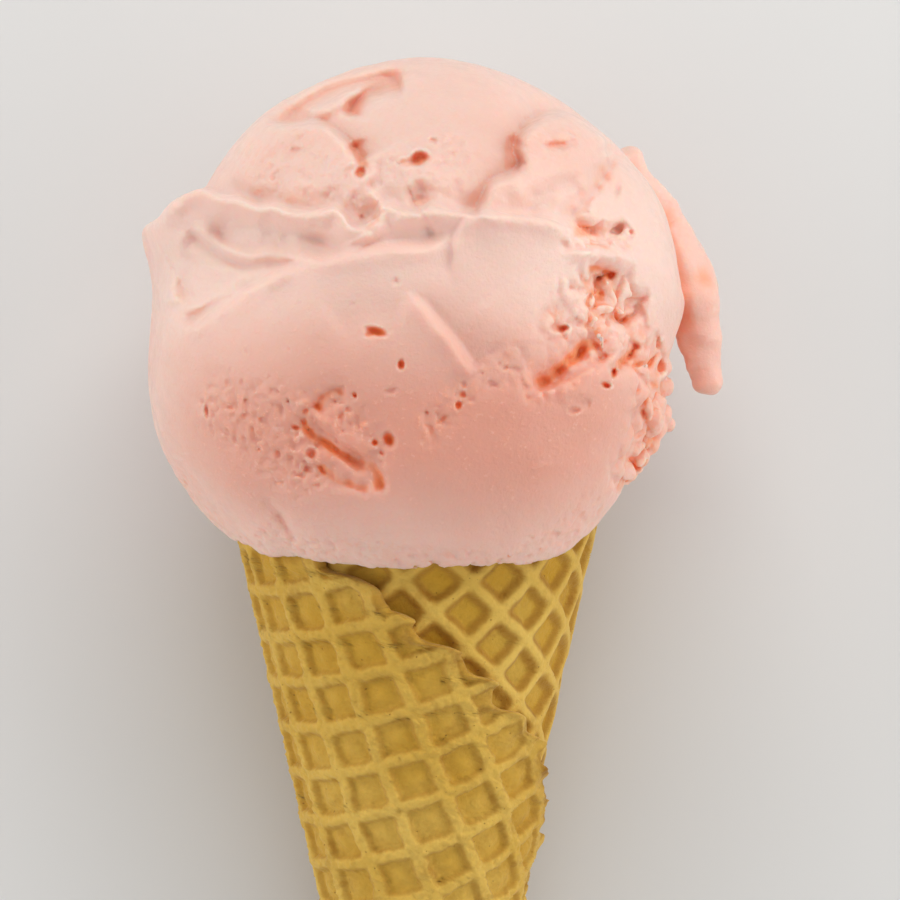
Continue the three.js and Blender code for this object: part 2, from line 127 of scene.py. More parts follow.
class Lumps:
    """Smooth noise in space, and the distances to scattered grains."""

    SPAN = 32

    def __init__(self, seed):
        dice = np.random.default_rng(seed)
        self.heights = (dice.random((self.SPAN,) * 3) * 2 - 1).astype(np.float32)
        self.grains = dice.random((self.SPAN,) * 3 + (3,)).astype(np.float32)
        self.turn = np.linalg.qr(dice.normal(size=(3, 3)))[0]

    def at(self, points, size):
        """Noise between -1 and 1 whose lumps are about size across."""
        place = points @ self.turn / size
        cell = np.floor(place)
        share = place - cell
        share = share * share * (3 - 2 * share)
        low = cell.astype(np.int32) % self.SPAN
        high = (low + 1) % self.SPAN
        total = 0.0
        for corner in range(8):
            at, weight = [], 1.0
            for axis in range(3):
                far = corner >> axis & 1
                at.append((high if far else low)[..., axis])
                weight = weight * (share[..., axis] if far else 1 - share[..., axis])
            total = total + weight * self.heights[tuple(at)]
        return total

    def grain(self, points, size):
        """Distance to the nearest and the next of the grains scattered size apart, as shares of size."""
        place = points @ self.turn / size
        cell = np.floor(place).astype(np.int32)
        first = np.full(place.shape[:-1], 9.0)
        second = first.copy()
        for i in (-1, 0, 1):
            for j in (-1, 0, 1):
                for k in (-1, 0, 1):
                    near = cell + (i, j, k)
                    centre = near + self.grains[tuple(np.moveaxis(near % self.SPAN, -1, 0))]
                    away = np.sqrt(((place - centre) ** 2).sum(-1))
                    second = np.minimum(second, np.maximum(first, away))
                    first = np.minimum(first, away)
        return first, second


# ---- Marks on the ice cream


def curve_through(points, step=0.7):
    """A smooth line through the points, as many short stretches."""
    points = np.asarray(points, float)
    ends = np.vstack([2 * points[0] - points[1], points, 2 * points[-1] - points[-2]])
    line = []
    for a, b, c, d in zip(ends, ends[1:], ends[2:], ends[3:]):
        for t in np.linspace(0, 1, max(2, int(np.linalg.norm(c - b) / step)), endpoint=False):
            turn = (2 * a - 5 * b + 4 * c - d) * t * t + (3 * b - a - 3 * c + d) * t**3
            line.append(b + 0.5 * ((c - a) * t + turn))
    line.append(points[-1])
    return np.array(line)


def on_picture(pixels):
    """Pixels of the picture as millimetres right of and above the middle of the rim."""
    return [((x - RIM_PIXEL[0]) * PIXEL, (RIM_PIXEL[1] - y) * PIXEL) for x, y in pixels]


class Side:
    """Marks drawn on one side's picture: how far the cream rises, how crumbly and grainy it is, and where its
    pits and grooves get painted shade.
    """

    LOW = (-46.0, -16.0)
    SIZE = (96.0, 84.0)
    STEP = 0.16

    def __init__(self, lumps):
        count = [int(size / self.STEP) + 1 for size in self.SIZE]
        across = self.LOW[0] + np.arange(count[0]) * self.STEP
        up = self.LOW[1] + np.arange(count[1]) * self.STEP
        self.across, self.up = np.meshgrid(across, up, indexing="ij")
        flat = np.stack([self.across, self.up, np.zeros_like(self.up)], -1)
        self.rise = np.zeros(count)
        self.crumbly = np.zeros(count)
        self.grainy = np.zeros(count)
        self.recess_shade = np.zeros(count)
        self.stray = [
            0.55 * lumps.at(flat + shift, 4.5) + 0.45 * lumps.at(flat + shift, 1.6) for shift in (0.0, 77.0)
        ]
        self.uneven = 0.6 * lumps.at(flat + 31.0, 3.2) + 0.5 * lumps.at(flat + 11.0, 1.3)

    def window(self, line, reach):
        """The part of the picture within reach of a line."""
        line = np.asarray(line)
        low = np.floor((line.min(0) - reach - self.LOW) / self.STEP).astype(int)
        high = np.ceil((line.max(0) + reach - self.LOW) / self.STEP).astype(int)
        return slice(max(low[0], 0), max(high[0], 0)), slice(max(low[1], 0), max(high[1], 0))

    def beside(self, pixels, reach, wander):
        """Signed distance to a line, positive on its left, and the share along it, within reach."""
        line = curve_through(on_picture(pixels))
        here = self.window(line, reach)
        a = self.across[here] + wander * self.stray[0][here]
        b = self.up[here] + wander * self.stray[1][here]
        nearest = np.full(a.shape, 1e9)
        side = np.ones(a.shape)
        along = np.zeros(a.shape)
        count = len(line) - 1
        for i in range(count):
            (ax, ay), (dx, dy) = line[i], line[i + 1] - line[i]
            share = np.clip(((a - ax) * dx + (b - ay) * dy) / (dx * dx + dy * dy), 0, 1)
            away = np.hypot(a - ax - dx * share, b - ay - dy * share)
            closer = away < nearest
            nearest = np.where(closer, away, nearest)
            side = np.where(closer, np.sign(dx * (b - ay) - dy * (a - ax)), side)
            along = np.where(closer, (i + share) / count, along)
        return here, nearest * side, along

    def groove(self, pixels, depth, half, other=None, recess_shade=0.0, wander=0.35, fade=0.2, rag=0.4):
        """A groove, or a ridge where depth is negative. other is how wide it is on its right side."""
        other = half if other is None else other
        here, off, along = self.beside(pixels, 3.2 * max(half, other), wander)
        width = np.where(off > 0, half, other) * (1 + 0.4 * rag * self.uneven[here])
        fall = np.exp(-np.abs(off / width) ** 1.7)
        taper = smooth(along, 0, fade) * smooth(1 - along, 0, fade) if fade else 1.0
        self.rise[here] -= depth * fall * taper * (1 + rag * self.uneven[here])
        # painted shade in the groove's core: the orange-red that hollows in the cream take on
        if recess_shade:
            core = smooth(fall, 0.35, 0.85) * taper * np.clip(1 + 1.2 * self.uneven[here], 0, 1.3)
            self.recess_shade[here] = np.maximum(self.recess_shade[here], recess_shade * core)

    def fold(self, pixels, drop, reach, lip=0.3, edge=0.7, wander=0.3, fade=(0.15, 0.15)):
        """A fold's edge: the cream on the line's left drops away behind it and comes back over reach."""
        here, off, along = self.beside(pixels, 3.5 * reach + 3, wander)
        if drop < 0:
            drop, off = -drop, -off
        low = smooth(off, -0.5 * edge, edge) * np.exp(-np.maximum(off - edge, 0) / reach)
        proud = np.exp(-((off / np.where(off < 0, 1.9, 0.5)) ** 2))
        taper = 1.0
        if fade[0]:
            taper = taper * smooth(along, 0, fade[0])
        if fade[1]:
            taper = taper * smooth(1 - along, 0, fade[1])
        self.rise[here] += taper * (lip * proud * (1 + 0.5 * self.uneven[here]) - drop * low)

    def pit(self, pixel, across, up, turn, depth, recess_shade=0.0, rim=0.08, wander=0.3):
        """An oval pit, its half sizes in pixels, turned anticlockwise by turn degrees."""
        centre = on_picture([pixel])
        reach = 2.4 * max(across, up) * PIXEL
        here = self.window(centre, reach)
        a = self.across[here] + wander * self.stray[0][here] - centre[0][0]
        b = self.up[here] + wander * self.stray[1][here] - centre[0][1]
        c, s = math.cos(math.radians(turn)), math.sin(math.radians(turn))
        away = np.hypot((a * c + b * s) / (across * PIXEL), (b * c - a * s) / (up * PIXEL))
        inside = 1 - smooth(away, 0.2, 1.35)
        self.rise[here] -= depth * inside - rim * np.exp(-(((away - 1.35) / 0.3) ** 2))
        # painted shade in the pit: the orange-red that hollows in the cream take on
        if recess_shade:
            self.recess_shade[here] = np.maximum(self.recess_shade[here], recess_shade * (1 - smooth(away, 0.55, 1.1)))

    def patch(self, pixels, reach, crumbly=0.0, grainy=0.0, sink=0.0):
        """Torn cream along a line: reach is in millimetres."""
        here, off, _ = self.beside(pixels, 1.7 * reach, 1.3)
        mask = 1 - smooth(np.abs(off), 0.35 * reach, 1.3 * reach)
        self.crumbly[here] = np.maximum(self.crumbly[here], crumbly * mask)
        self.grainy[here] = np.maximum(self.grainy[here], grainy * mask)
        self.rise[here] -= sink * mask

    def read(self, across, up):
        """Rise, crumbliness, graininess and the painted shade of the recesses, at places on the picture."""
        i = np.clip((across - self.LOW[0]) / self.STEP, 0, self.rise.shape[0] - 1.001)
        j = np.clip((up - self.LOW[1]) / self.STEP, 0, self.rise.shape[1] - 1.001)
        i0, j0 = i.astype(np.int32), j.astype(np.int32)
        u, v = i - i0, j - j0
        out = []
        for layer in (self.rise, self.crumbly, self.grainy, self.recess_shade):
            near = layer[i0, j0] * (1 - u) + layer[i0 + 1, j0] * u
            far = layer[i0, j0 + 1] * (1 - u) + layer[i0 + 1, j0 + 1] * u
            out.append(near * (1 - v) + far * v)
        return out


def shown_side(lumps):
    """The folds, grooves, pits and torn places of the shown side."""
    side = Side(lumps)
    fold, groove, pit, patch = side.fold, side.groove, side.pit, side.patch

    # the torn lip that runs across the scoop
    lip = [(160, 235), (170, 208), (185, 196), (203, 192), (220, 200), (239, 202), (258, 210), (272, 208)]
    lip += [(287, 213), (302, 215), (319, 214), (333, 211), (342, 217), (350, 228), (361, 230), (373, 221)]
    lip += [(378, 212), (388, 208), (403, 213), (420, 214), (432, 209), (446, 212), (468, 217), (506, 217)]
    lip += [(530, 219), (551, 223), (566, 227), (577, 237), (588, 248), (612, 251), (628, 258), (640, 268)]
    groove(lip, -1.5, 0.6, 1.9, wander=0.15, fade=0.05, rag=0.25)
    groove([(x + 2, y - 10) for x, y in lip[3:-4]], 0.9, 1.8, 0.9, wander=0.3, fade=0.1, rag=0.3)
    groove([(388, 211), (420, 217), (446, 214), (468, 219)], -0.5, 0.7, 1.2, wander=0.2)

    # the valley under the lip: hollows, and soft folds that fan out from the left
    groove([(196, 214), (222, 226), (262, 230), (300, 236), (330, 242), (352, 240)], 0.8, 2.4, 1.9, rag=0.3)
    pit((322, 240), 22, 7, -16, 0.55, recess_shade=0.1, rim=0.0)
    groove([(356, 236), (362, 248)], -0.5, 2.2)
    groove([(184, 228), (180, 248), (178, 268), (171, 286), (175, 307)], -0.5, 1.2, 2.0, fade=0.1)
    groove([(190, 250), (186, 270), (184, 290), (184, 306)], 0.25, 3.4, 2.2)
    sweep = [(190, 222), (203, 234), (216, 244), (230, 253), (250, 258), (270, 256), (292, 258), (330, 261)]
    fold(sweep, -1.0, 2.8, lip=0.55, edge=1.2, fade=(0.1, 0.3))
    groove([(206, 226), (224, 238), (246, 246), (270, 246), (300, 249)], 0.6, 1.6, 1.4)
    groove([(196, 262), (222, 270), (252, 268), (290, 262)], -0.35, 1.2)
    ridge = [(176, 313), (203, 305), (228, 291), (243, 284), (262, 274), (300, 262)]
    groove(ridge, -0.7, 1.0, 1.2, fade=0.15)
    groove([(232, 291), (243, 286), (258, 280), (277, 269), (304, 261)], 0.9, 0.8, 0.5, fade=0.2)
    lobe = [(176, 334), (184, 330), (203, 322), (224, 307), (245, 293), (270, 278), (300, 263), (330, 260)]
    lobe += [(363, 253), (393, 249), (420, 249), (435, 246), (447, 239), (456, 228)]
    fold(lobe, 1.35, 5.5, lip=0.7, edge=1.6, wander=0.2, fade=(0.12, 0.08))
    groove([(182, 327), (197, 320), (210, 311), (226, 303), (244, 292)], 0.45, 1.6, 0.8)
    right_end = [(470, 217), (459, 232), (455, 250), (456, 270), (462, 292)]
    fold(right_end, -1.0, 4.0, lip=0.3, edge=1.0, fade=(0.08, 0.5))

    # the front mass below the lobe's edge
    pit((397, 281), 5, 4, 0, 0.4)
    crease = [(396, 290), (409, 297), (421, 307), (435, 323), (450, 341), (463, 360), (474, 376)]
    fold(crease, 1.5, 4.5, lip=0.9, edge=1.3, wander=0.15, fade=(0.35, 0.1))
    groove([(330, 330), (352, 318), (382, 311), (408, 318)], 0.8, 4.2, 3.2, rag=0.1)
    groove([(480, 300), (500, 330), (505, 350)], -0.4, 4.5, rag=0.1)
    pit((376, 332), 11, 4.5, -15, 1.6, recess_shade=1.0, rim=0.15, wander=0.15)
    pit((368, 335), 5, 3, -10, 0.7, recess_shade=0.6)
    pit((401, 364), 3.5, 5.5, 0, 1.3, recess_shade=0.9, rim=0.12, wander=0.15)
    pit((391, 390), 7, 3.5, 10, 0.5, recess_shade=0.2)
    dimples = ((352, 305, 3), (300, 302, 2.5), (318, 338, 2), (290, 350, 2), (247, 352, 2), (470, 330, 2))
    for x, y, size in dimples:
        pit((x, y), size, size, 0, 0.2, rim=0.05)

    # the crater with its flakes
    patch([(325, 405), (345, 425), (362, 450)], 4.2, crumbly=0.35, grainy=0.9, sink=0.7)
    groove([(313, 411), (318, 405), (323, 399), (332, 393), (346, 388)], 1.2, 0.6, 1.3, 0.8, 0.5, 0.15, 0.9)
    edge = [(306, 413), (305, 424), (311, 433), (318, 438), (332, 447), (344, 455), (356, 462), (370, 466)]
    groove(edge + [(377, 473), (379, 483), (371, 489)], 1.3, 0.8, 1.4, 0.75, 0.7, 0.08, 0.9)
    under = [(319, 461), (322, 467), (330, 474), (344, 481), (360, 486), (372, 488)]
    groove(under, 0.9, 1.0, 0.8, 0.6, 0.7, 0.1, 0.9)
    groove([(320, 446), (336, 458), (352, 470), (366, 478)], -0.7, 0.9, 0.9, wander=0.4)
    fold([(311, 416), (330, 428), (350, 444), (374, 460)], -0.9, 2.4, lip=0.45, edge=0.6, wander=0.4)
    pit((303, 404), 8, 5, 20, -0.6, rim=0.0)
    pit((311, 454), 5.5, 5.5, 0, 0.8, recess_shade=0.5, wander=0.3)
    pit((308, 469), 6, 4, -20, 0.6, recess_shade=0.35, wander=0.3)
    pit((296, 427), 5, 3, -20, 0.8, recess_shade=0.6, wander=0.3)
    pit((355, 395), 2.5, 3.5, 20, 0.9, recess_shade=0.8)
    pit((389, 440), 5.5, 7.5, 20, 1.5, recess_shade=1.0, rim=0.15, wander=0.2)
    pit((375, 443), 3.5, 4, 0, 1.0, recess_shade=0.8, wander=0.2)
    pit((382, 454), 2.5, 4, 30, 0.6, recess_shade=0.5)
    pit((364, 425), 5, 3.5, 10, -0.6, rim=0.0, wander=0.1)
    patch([(226, 408), (262, 432), (304, 462)], 5.4, grainy=1.0, sink=0.15)
    patch([(268, 402), (300, 410)], 4.0, grainy=0.9)
    pit((206, 411), 2.2, 8, 5, 0.6, recess_shade=0.3)

    # the rough streak that runs up to the right
    patch([(430, 426), (455, 404), (480, 385), (514, 362)], 3.0, crumbly=0.2, grainy=1.0, sink=0.2)
    pit((462, 395), 4, 4, 0, 0.9, recess_shade=0.6)
    pit((459, 406), 3, 5, -10, 1.0, recess_shade=0.8)
    pit((444, 419), 5, 2.5, 30, 0.5, recess_shade=0.2)
    pit((505, 368), 4, 2.5, 30, 0.5, recess_shade=0.2)

    # the crumbly break on the right
    patch([(560, 372), (590, 335), (606, 300)], 5.0, crumbly=1.0, grainy=0.3, sink=0.5)
    patch([(600, 280), (626, 315), (640, 350)], 4.0, crumbly=0.9, grainy=0.3, sink=0.5)
    patch([(580, 296), (562, 326)], 3.6, crumbly=0.75, grainy=0.4, sink=0.2)
    crack = [(534, 388), (550, 377), (561, 368), (575, 357), (587, 347), (602, 341)]
    groove(crack, 1.6, 1.6, 1.0, 0.6, 0.8, 0.1, 0.9)
    patch([(536, 388), (560, 372), (584, 352)], 2.4, crumbly=0.5, grainy=1.0)
    fold([(534, 394), (556, 388), (578, 376), (604, 362), (625, 352)], 0.8, 2.2, lip=0.7, edge=0.8)
    groove([(586, 271), (597, 270), (606, 273), (614, 279)], 1.4, 1.0, 1.1, 0.85, 0.6, 0.15, 0.6)
    groove([(600, 273), (596, 284), (600, 294), (602, 306)], 1.7, 0.9, 0.9, 0.8, 0.6, 0.15, 0.6)
    groove([(566, 288), (577, 289), (588, 289)], 0.9, 0.6, 0.6, 0.35)
    hook = [(608, 311), (616, 319), (626, 320), (634, 312), (630, 305), (620, 306)]
    groove(hook, 1.3, 0.8, 0.8, 0.5, 0.4, 0.1)
    pit((561, 328), 9, 4.5, -5, 1.2, recess_shade=0.5, wander=0.5)
    pit((600, 323), 8, 4, 0, 0.9, recess_shade=0.35, wander=0.5)
    groove([(611, 375), (619, 364), (630, 352), (638, 340)], 1.6, 0.9, 0.7, 0.55, 0.4, 0.1)
    pit((606, 384), 5, 3, -15, 1.1, recess_shade=0.7)
    pit((613, 373), 3, 5, 0, 1.0, recess_shade=0.7)
    pit((574, 411), 6, 3.5, 10, 0.6, recess_shade=0.2, rim=0.1, wander=0.35)
    groove([(576, 408), (585, 403), (592, 404)], 0.35, 0.6)
    pit((606, 281), 4, 5, 0, -1.3, rim=0.0, wander=0.1)
    patch([(652, 396), (650, 420), (638, 450), (626, 474)], 3.0, crumbly=0.9, grainy=0.3, sink=0.2)
    groove([(628, 405), (638, 425), (634, 450), (620, 470)], 0.8, 1.4, 1.0)

    # the bottom
    hem = [(244, 536), (301, 546), (369, 552), (428, 560), (473, 563), (520, 555), (560, 536), (596, 508)]
    patch(hem, 2.4, 0.1, 0.5)
    patch([(182, 480), (205, 512), (232, 534)], 2.0, 0.08, 0.4)
    groove([(258, 494), (272, 506), (284, 523), (292, 537)], 0.45, 0.6, 1.1, recess_shade=0.2, fade=0.3)
    groove([(276, 512), (290, 532), (297, 545)], 0.3, 0.6)
    groove([(530, 470), (541, 467), (552, 463)], -0.2, 0.35)
    groove([(400, 520), (450, 530), (520, 515)], 0.3, 3.0, rag=0.1)

    # the dome: a lobe on the left, two long grooves over the top, pits
    edge = [(262, 128), (291, 127), (315, 126), (328, 129), (340, 139), (350, 151), (358, 166)]
    fold(edge, 2.2, 3.2, lip=0.7, edge=1.1, wander=0.25, fade=(0.25, 0.05))
    groove([(351, 141), (355, 152), (361, 164), (366, 178)], 1.1, 1.7, 0.8, recess_shade=0.65, fade=0.2)
    pit((360, 174), 5, 6, 0, 1.2, recess_shade=0.8, wander=0.4)
    fold([(376, 154), (374, 172), (362, 188)], 0.6, 2.4, lip=0.3, edge=1.0, fade=(0.4, 0.2))
    groove([(349, 119), (353, 106), (365, 94), (382, 86), (404, 81)], 1.9, 0.9, 2.2, 0.3, 0.3, 0.1, 0.15)
    over = [(280, 125), (300, 108), (317, 97), (340, 87), (372, 78), (396, 76), (413, 72)]
    groove(over, 1.5, 0.9, 2.0, 0.12, 0.3, 0.15, 0.15)
    groove([(298, 112), (329, 107), (348, 95), (374, 86)], -0.9, 1.1)
    pit((420, 160), 9, 6.5, 25, 1.6, recess_shade=0.9, wander=0.6)
    pit((409, 163), 10, 5, 10, 0.7, recess_shade=0.4, wander=0.5)
    pit((421, 192), 14, 11, -5, 1.4, wander=0.5)
    pit((422, 200), 11, 6, 5, 0.5, recess_shade=0.5, wander=0.5)
    pit((433, 140), 4, 3, 0, 0.4, recess_shade=0.1)
    groove([(436, 146), (450, 142), (466, 146)], 0.3, 0.6)
    groove([(437, 158), (452, 154), (472, 158)], 0.3, 0.6)
    groove([(434, 171), (446, 163), (468, 165)], 0.35, 0.6)
    groove([(455, 178), (459, 186), (458, 195)], 0.3, 0.6)
    patch([(285, 165), (330, 190)], 7.0, grainy=0.45)
    groove([(282, 162), (300, 152), (318, 158), (326, 174)], 0.35, 1.0)
    groove([(270, 182), (290, 172), (306, 176), (318, 190)], 0.3, 0.9)
    groove([(298, 188), (312, 184), (326, 194)], -0.35, 0.8)
    patch([(400, 180), (450, 165)], 6.0, grainy=0.4)
    pit((362, 212), 15, 17, 0, 0.9, recess_shade=0.1, wander=0.5)
    groove([(373, 200), (378, 212), (374, 222)], 0.5, 1.0, recess_shade=0.45)
    patch([(358, 205), (366, 218)], 1.8, crumbly=0.35, grainy=0.8)
    groove([(368, 190), (376, 201), (385, 210)], -1.3, 0.7, wander=0.2)

    # the curl on the right
    curl = [(477, 220), (487, 201), (496, 185), (515, 177), (525, 163), (521, 149), (527, 133), (539, 121)]
    curl += [(553, 116), (572, 118), (587, 128)]
    fold(curl, 2.7, 3.4, lip=0.9, edge=1.2, wander=0.3, fade=(0.05, 0.3))
    groove([(514, 178), (521, 164), (518, 150), (522, 138)], 0.9, 1.6, 0.7, recess_shade=0.12)
    pit((556, 150), 34, 30, 0, -1.3, rim=0.0, wander=0.1)
    pit((520, 194), 36, 14, 30, -0.8, rim=0.0, wander=0.1)
    groove([(538, 145), (551, 145), (562, 144), (576, 138)], 1.2, 0.8, 0.7, 0.45, 0.4, 0.25, 0.6)
    patch([(530, 135), (545, 150), (560, 135)], 2.5, crumbly=0.35, grainy=0.3)
    groove([(520, 199), (541, 194), (565, 187), (588, 184)], 0.9, 1.6, 2.2, recess_shade=0.05)
    groove([(500, 212), (530, 209), (560, 204)], 0.4, 1.8)
    right = [(606, 138), (608, 155), (604, 168), (597, 179), (588, 192), (572, 208), (553, 223)]
    groove(right, 1.7, 1.2, 1.4, recess_shade=0.2, wander=0.3, fade=0.12)
    fold(right, 0.7, 4.0, lip=0.3, edge=1.0, fade=(0.2, 0.1))
    groove([(592, 189), (606, 188), (622, 191)], 0.5, 1.0, 1.3)
    groove([(590, 200), (591, 206), (587, 213)], -0.35, 0.5)
    patch([(574, 234), (596, 237), (616, 239)], 2.2, crumbly=0.8, grainy=0.9, sink=0.9)
    groove([(568, 228), (588, 229), (606, 231), (622, 235)], 0.8, 0.8, 1.2, recess_shade=0.5, wander=0.6, rag=0.8)
    return side


def far_side(lumps):
    """The unseen side has the same kinds of marks, in places of its own."""
    side = Side(lumps)
    fold, groove, pit, patch = side.fold, side.groove, side.pit, side.patch
    lip = [(190, 262), (230, 246), (280, 238), (330, 226), (380, 232), (430, 222), (480, 214)]
    lip += [(530, 205), (590, 200)]
    groove(lip, -1.3, 0.7, 1.8, wander=0.5, fade=0.06)
    groove([(220, 268), (290, 262), (350, 250), (420, 246), (480, 240)], 1.5, 2.4, 1.8)
    lobe = [(200, 320), (260, 300), (330, 284), (400, 268), (470, 258), (540, 240)]
    fold(lobe, 1.9, 4.5, lip=0.4, edge=1.3)
    groove([(520, 232), (555, 252), (590, 262)], 1.0, 1.8)
    fold([(350, 420), (400, 400), (450, 390), (500, 360), (530, 320)], 1.3, 4.5, lip=0.4, edge=1.2)
    fold([(300, 190), (330, 150), (380, 120), (440, 110), (500, 124)], -1.5, 3.4, lip=0.5, edge=1.0)
    groove([(260, 170), (300, 140), (350, 110), (400, 96)], 1.2, 1.0, 1.5, recess_shade=0.15)
    groove([(470, 180), (500, 160), (540, 156), (580, 170)], 1.1, 1.0, 1.4, recess_shade=0.15)
    patch([(280, 400), (310, 430), (350, 450)], 5.4, crumbly=0.95, grainy=0.5, sink=0.7)
    groove([(270, 395), (300, 420), (340, 440)], 1.8, 1.0, 0.8, recess_shade=0.7, wander=0.5, rag=0.6)
    patch([(540, 380), (560, 420)], 4.4, crumbly=0.8, grainy=0.4, sink=0.4)
    patch([(420, 330), (470, 320)], 5.0, grainy=0.9)
    pit((400, 360), 8, 5, 20, 1.2, recess_shade=0.8)
    pit((460, 440), 5, 6, 0, 1.0, recess_shade=0.7)
    pit((340, 330), 8, 4, -20, 1.1, recess_shade=0.8)
    pit((500, 290), 5, 5, 0, 0.9, recess_shade=0.4)
    pit((430, 160), 9, 6, 10, 1.2, recess_shade=0.6)
    groove([(420, 500), (410, 530), (415, 556)], 0.5, 0.8)
    return side


# ---- The scoop's masses

SEAT = {"x": -1.0, "y": 20.0, "side": 37.0, "front": 35.5, "above": 43.0, "power": 2.2}
DOME = {
    "x": 2.2, "y": 31.5, "z": -1.0, "side": 34.9, "front": 33.5, "height": 31.2,
    "power": 1.86, "tilt": -0.07,
}

# the lip's height and the seat's depth, every 45 degrees from the front round by the right
LIP_HEIGHTS = (43.5, 40.0, 29.5, 31.0, 36.5, 38.5, 39.3, 45.8)
SEAT_DEPTHS = (38.6, 37.0, 27.8, 30.0, 31.0, 31.5, 32.6, 34.2)
LIP_ROUNDING = 2.0
LIP_SLOPE = 0.8
LIP_FLARE = 1.2
LIP_FLARE_LEFT = 1.6
LIP_FLARE_DEPTH = 6.0
MELD = 1.2

# the plug that fills the wafer, and the room that the scoop leaves round the wafer's rim
PLUG_TOP = 6.0
PLUG_CUT = -11.5
PLUG_TIP = (TIP_SLANT + 24.0) * COS_HALF - APEX_DEPTH
PLUG_INSET = 2.64
PLUG_RINGS = (0.06, 0.3, 0.7, 0.985)
WAFER_CLEAR = 1.35
RIM_MELD = 1.4

# the tongue's line and its half widths, and the crumbs at the right edge: x, y, z and size
TONGUE = (
    (30.3, 46.6, -11.0), (34.0, 41.0, -11.0), (37.2, 34.0, -11.0),
    (39.6, 27.5, -10.5), (40.4, 21.5, -10.0), (41.2, 16.4, -9.5),
)
TONGUE_WIDTHS = (2.5, 3.0, 4.0, 4.8, 3.6, 2.3)
TONGUE_MELD = 0.8
CRUMB_MELD = 0.5
CRUMBS_AT_EDGE = (
    (34.1, 12.6, 4.0, 1.6), (32.6, 13.0, 6.5, 1.5), (35.0, 11.2, 3.0, 1.2), (33.4, 10.4, 5.0, 1.5),
    (32.5, 8.6, 5.5, 1.5), (31.2, 9.4, 7.5, 1.3), (31.0, 6.6, 6.5, 1.4), (29.8, 7.6, 8.5, 1.2),
    (29.8, 4.9, 7.5, 1.2), (33.6, 12.0, -2.0, 1.9), (31.6, 8.0, -1.0, 1.7), (30.2, 5.2, 2.0, 1.4),
    (33.6, 19.6, 7.0, 1.8), (31.8, 18.0, 11.0, 1.7), (34.4, 16.6, 4.5, 1.5),
)

# places where the cream has broken away: the middle, the reach and the depth of each
DENTS = (((37.0, 16.5, -1.0), 6.0, 3.4), ((33.0, 5.0, 2.0), 6.0, 1.4))
TONGUE_DENTS = (
    ((37.0, 25.4, -6.6), 1.6, 1.4), ((38.2, 21.8, -6.6), 1.5, 1.3),
    ((35.2, 39.6, -8.6), 1.8, 0.7), ((40.6, 31.0, -7.0), 2.2, 0.6),
)

# the space that holds the scoop: it is worked out finely only within NEAR_SKIN of the skin
SPACE_LOW = np.array([-46.0, -13.0, -44.0])
SPACE_HIGH = np.array([50.0, 66.0, 42.0])
COARSE_RATIO = 4
NEAR_SKIN = 2.9
BLOCKS_AT_ONCE = 12000


def soft_least(a, b, width):
    """The smaller of two numbers, melted together where they are alike."""
    near = np.maximum(width - np.abs(a - b), 0) / width
    return np.minimum(a, b) - near * near * width / 4


def around(values, azimuth):
    """A value given every 45 degrees round the scoop, at any azimuth between."""
    values = np.asarray(values)
    place = (azimuth / (2 * math.pi) + 1) * len(values)
    i = np.floor(place).astype(int)
    share = smooth(place - i)
    return values[i % len(values)] * (1 - share) + values[(i + 1) % len(values)] * share


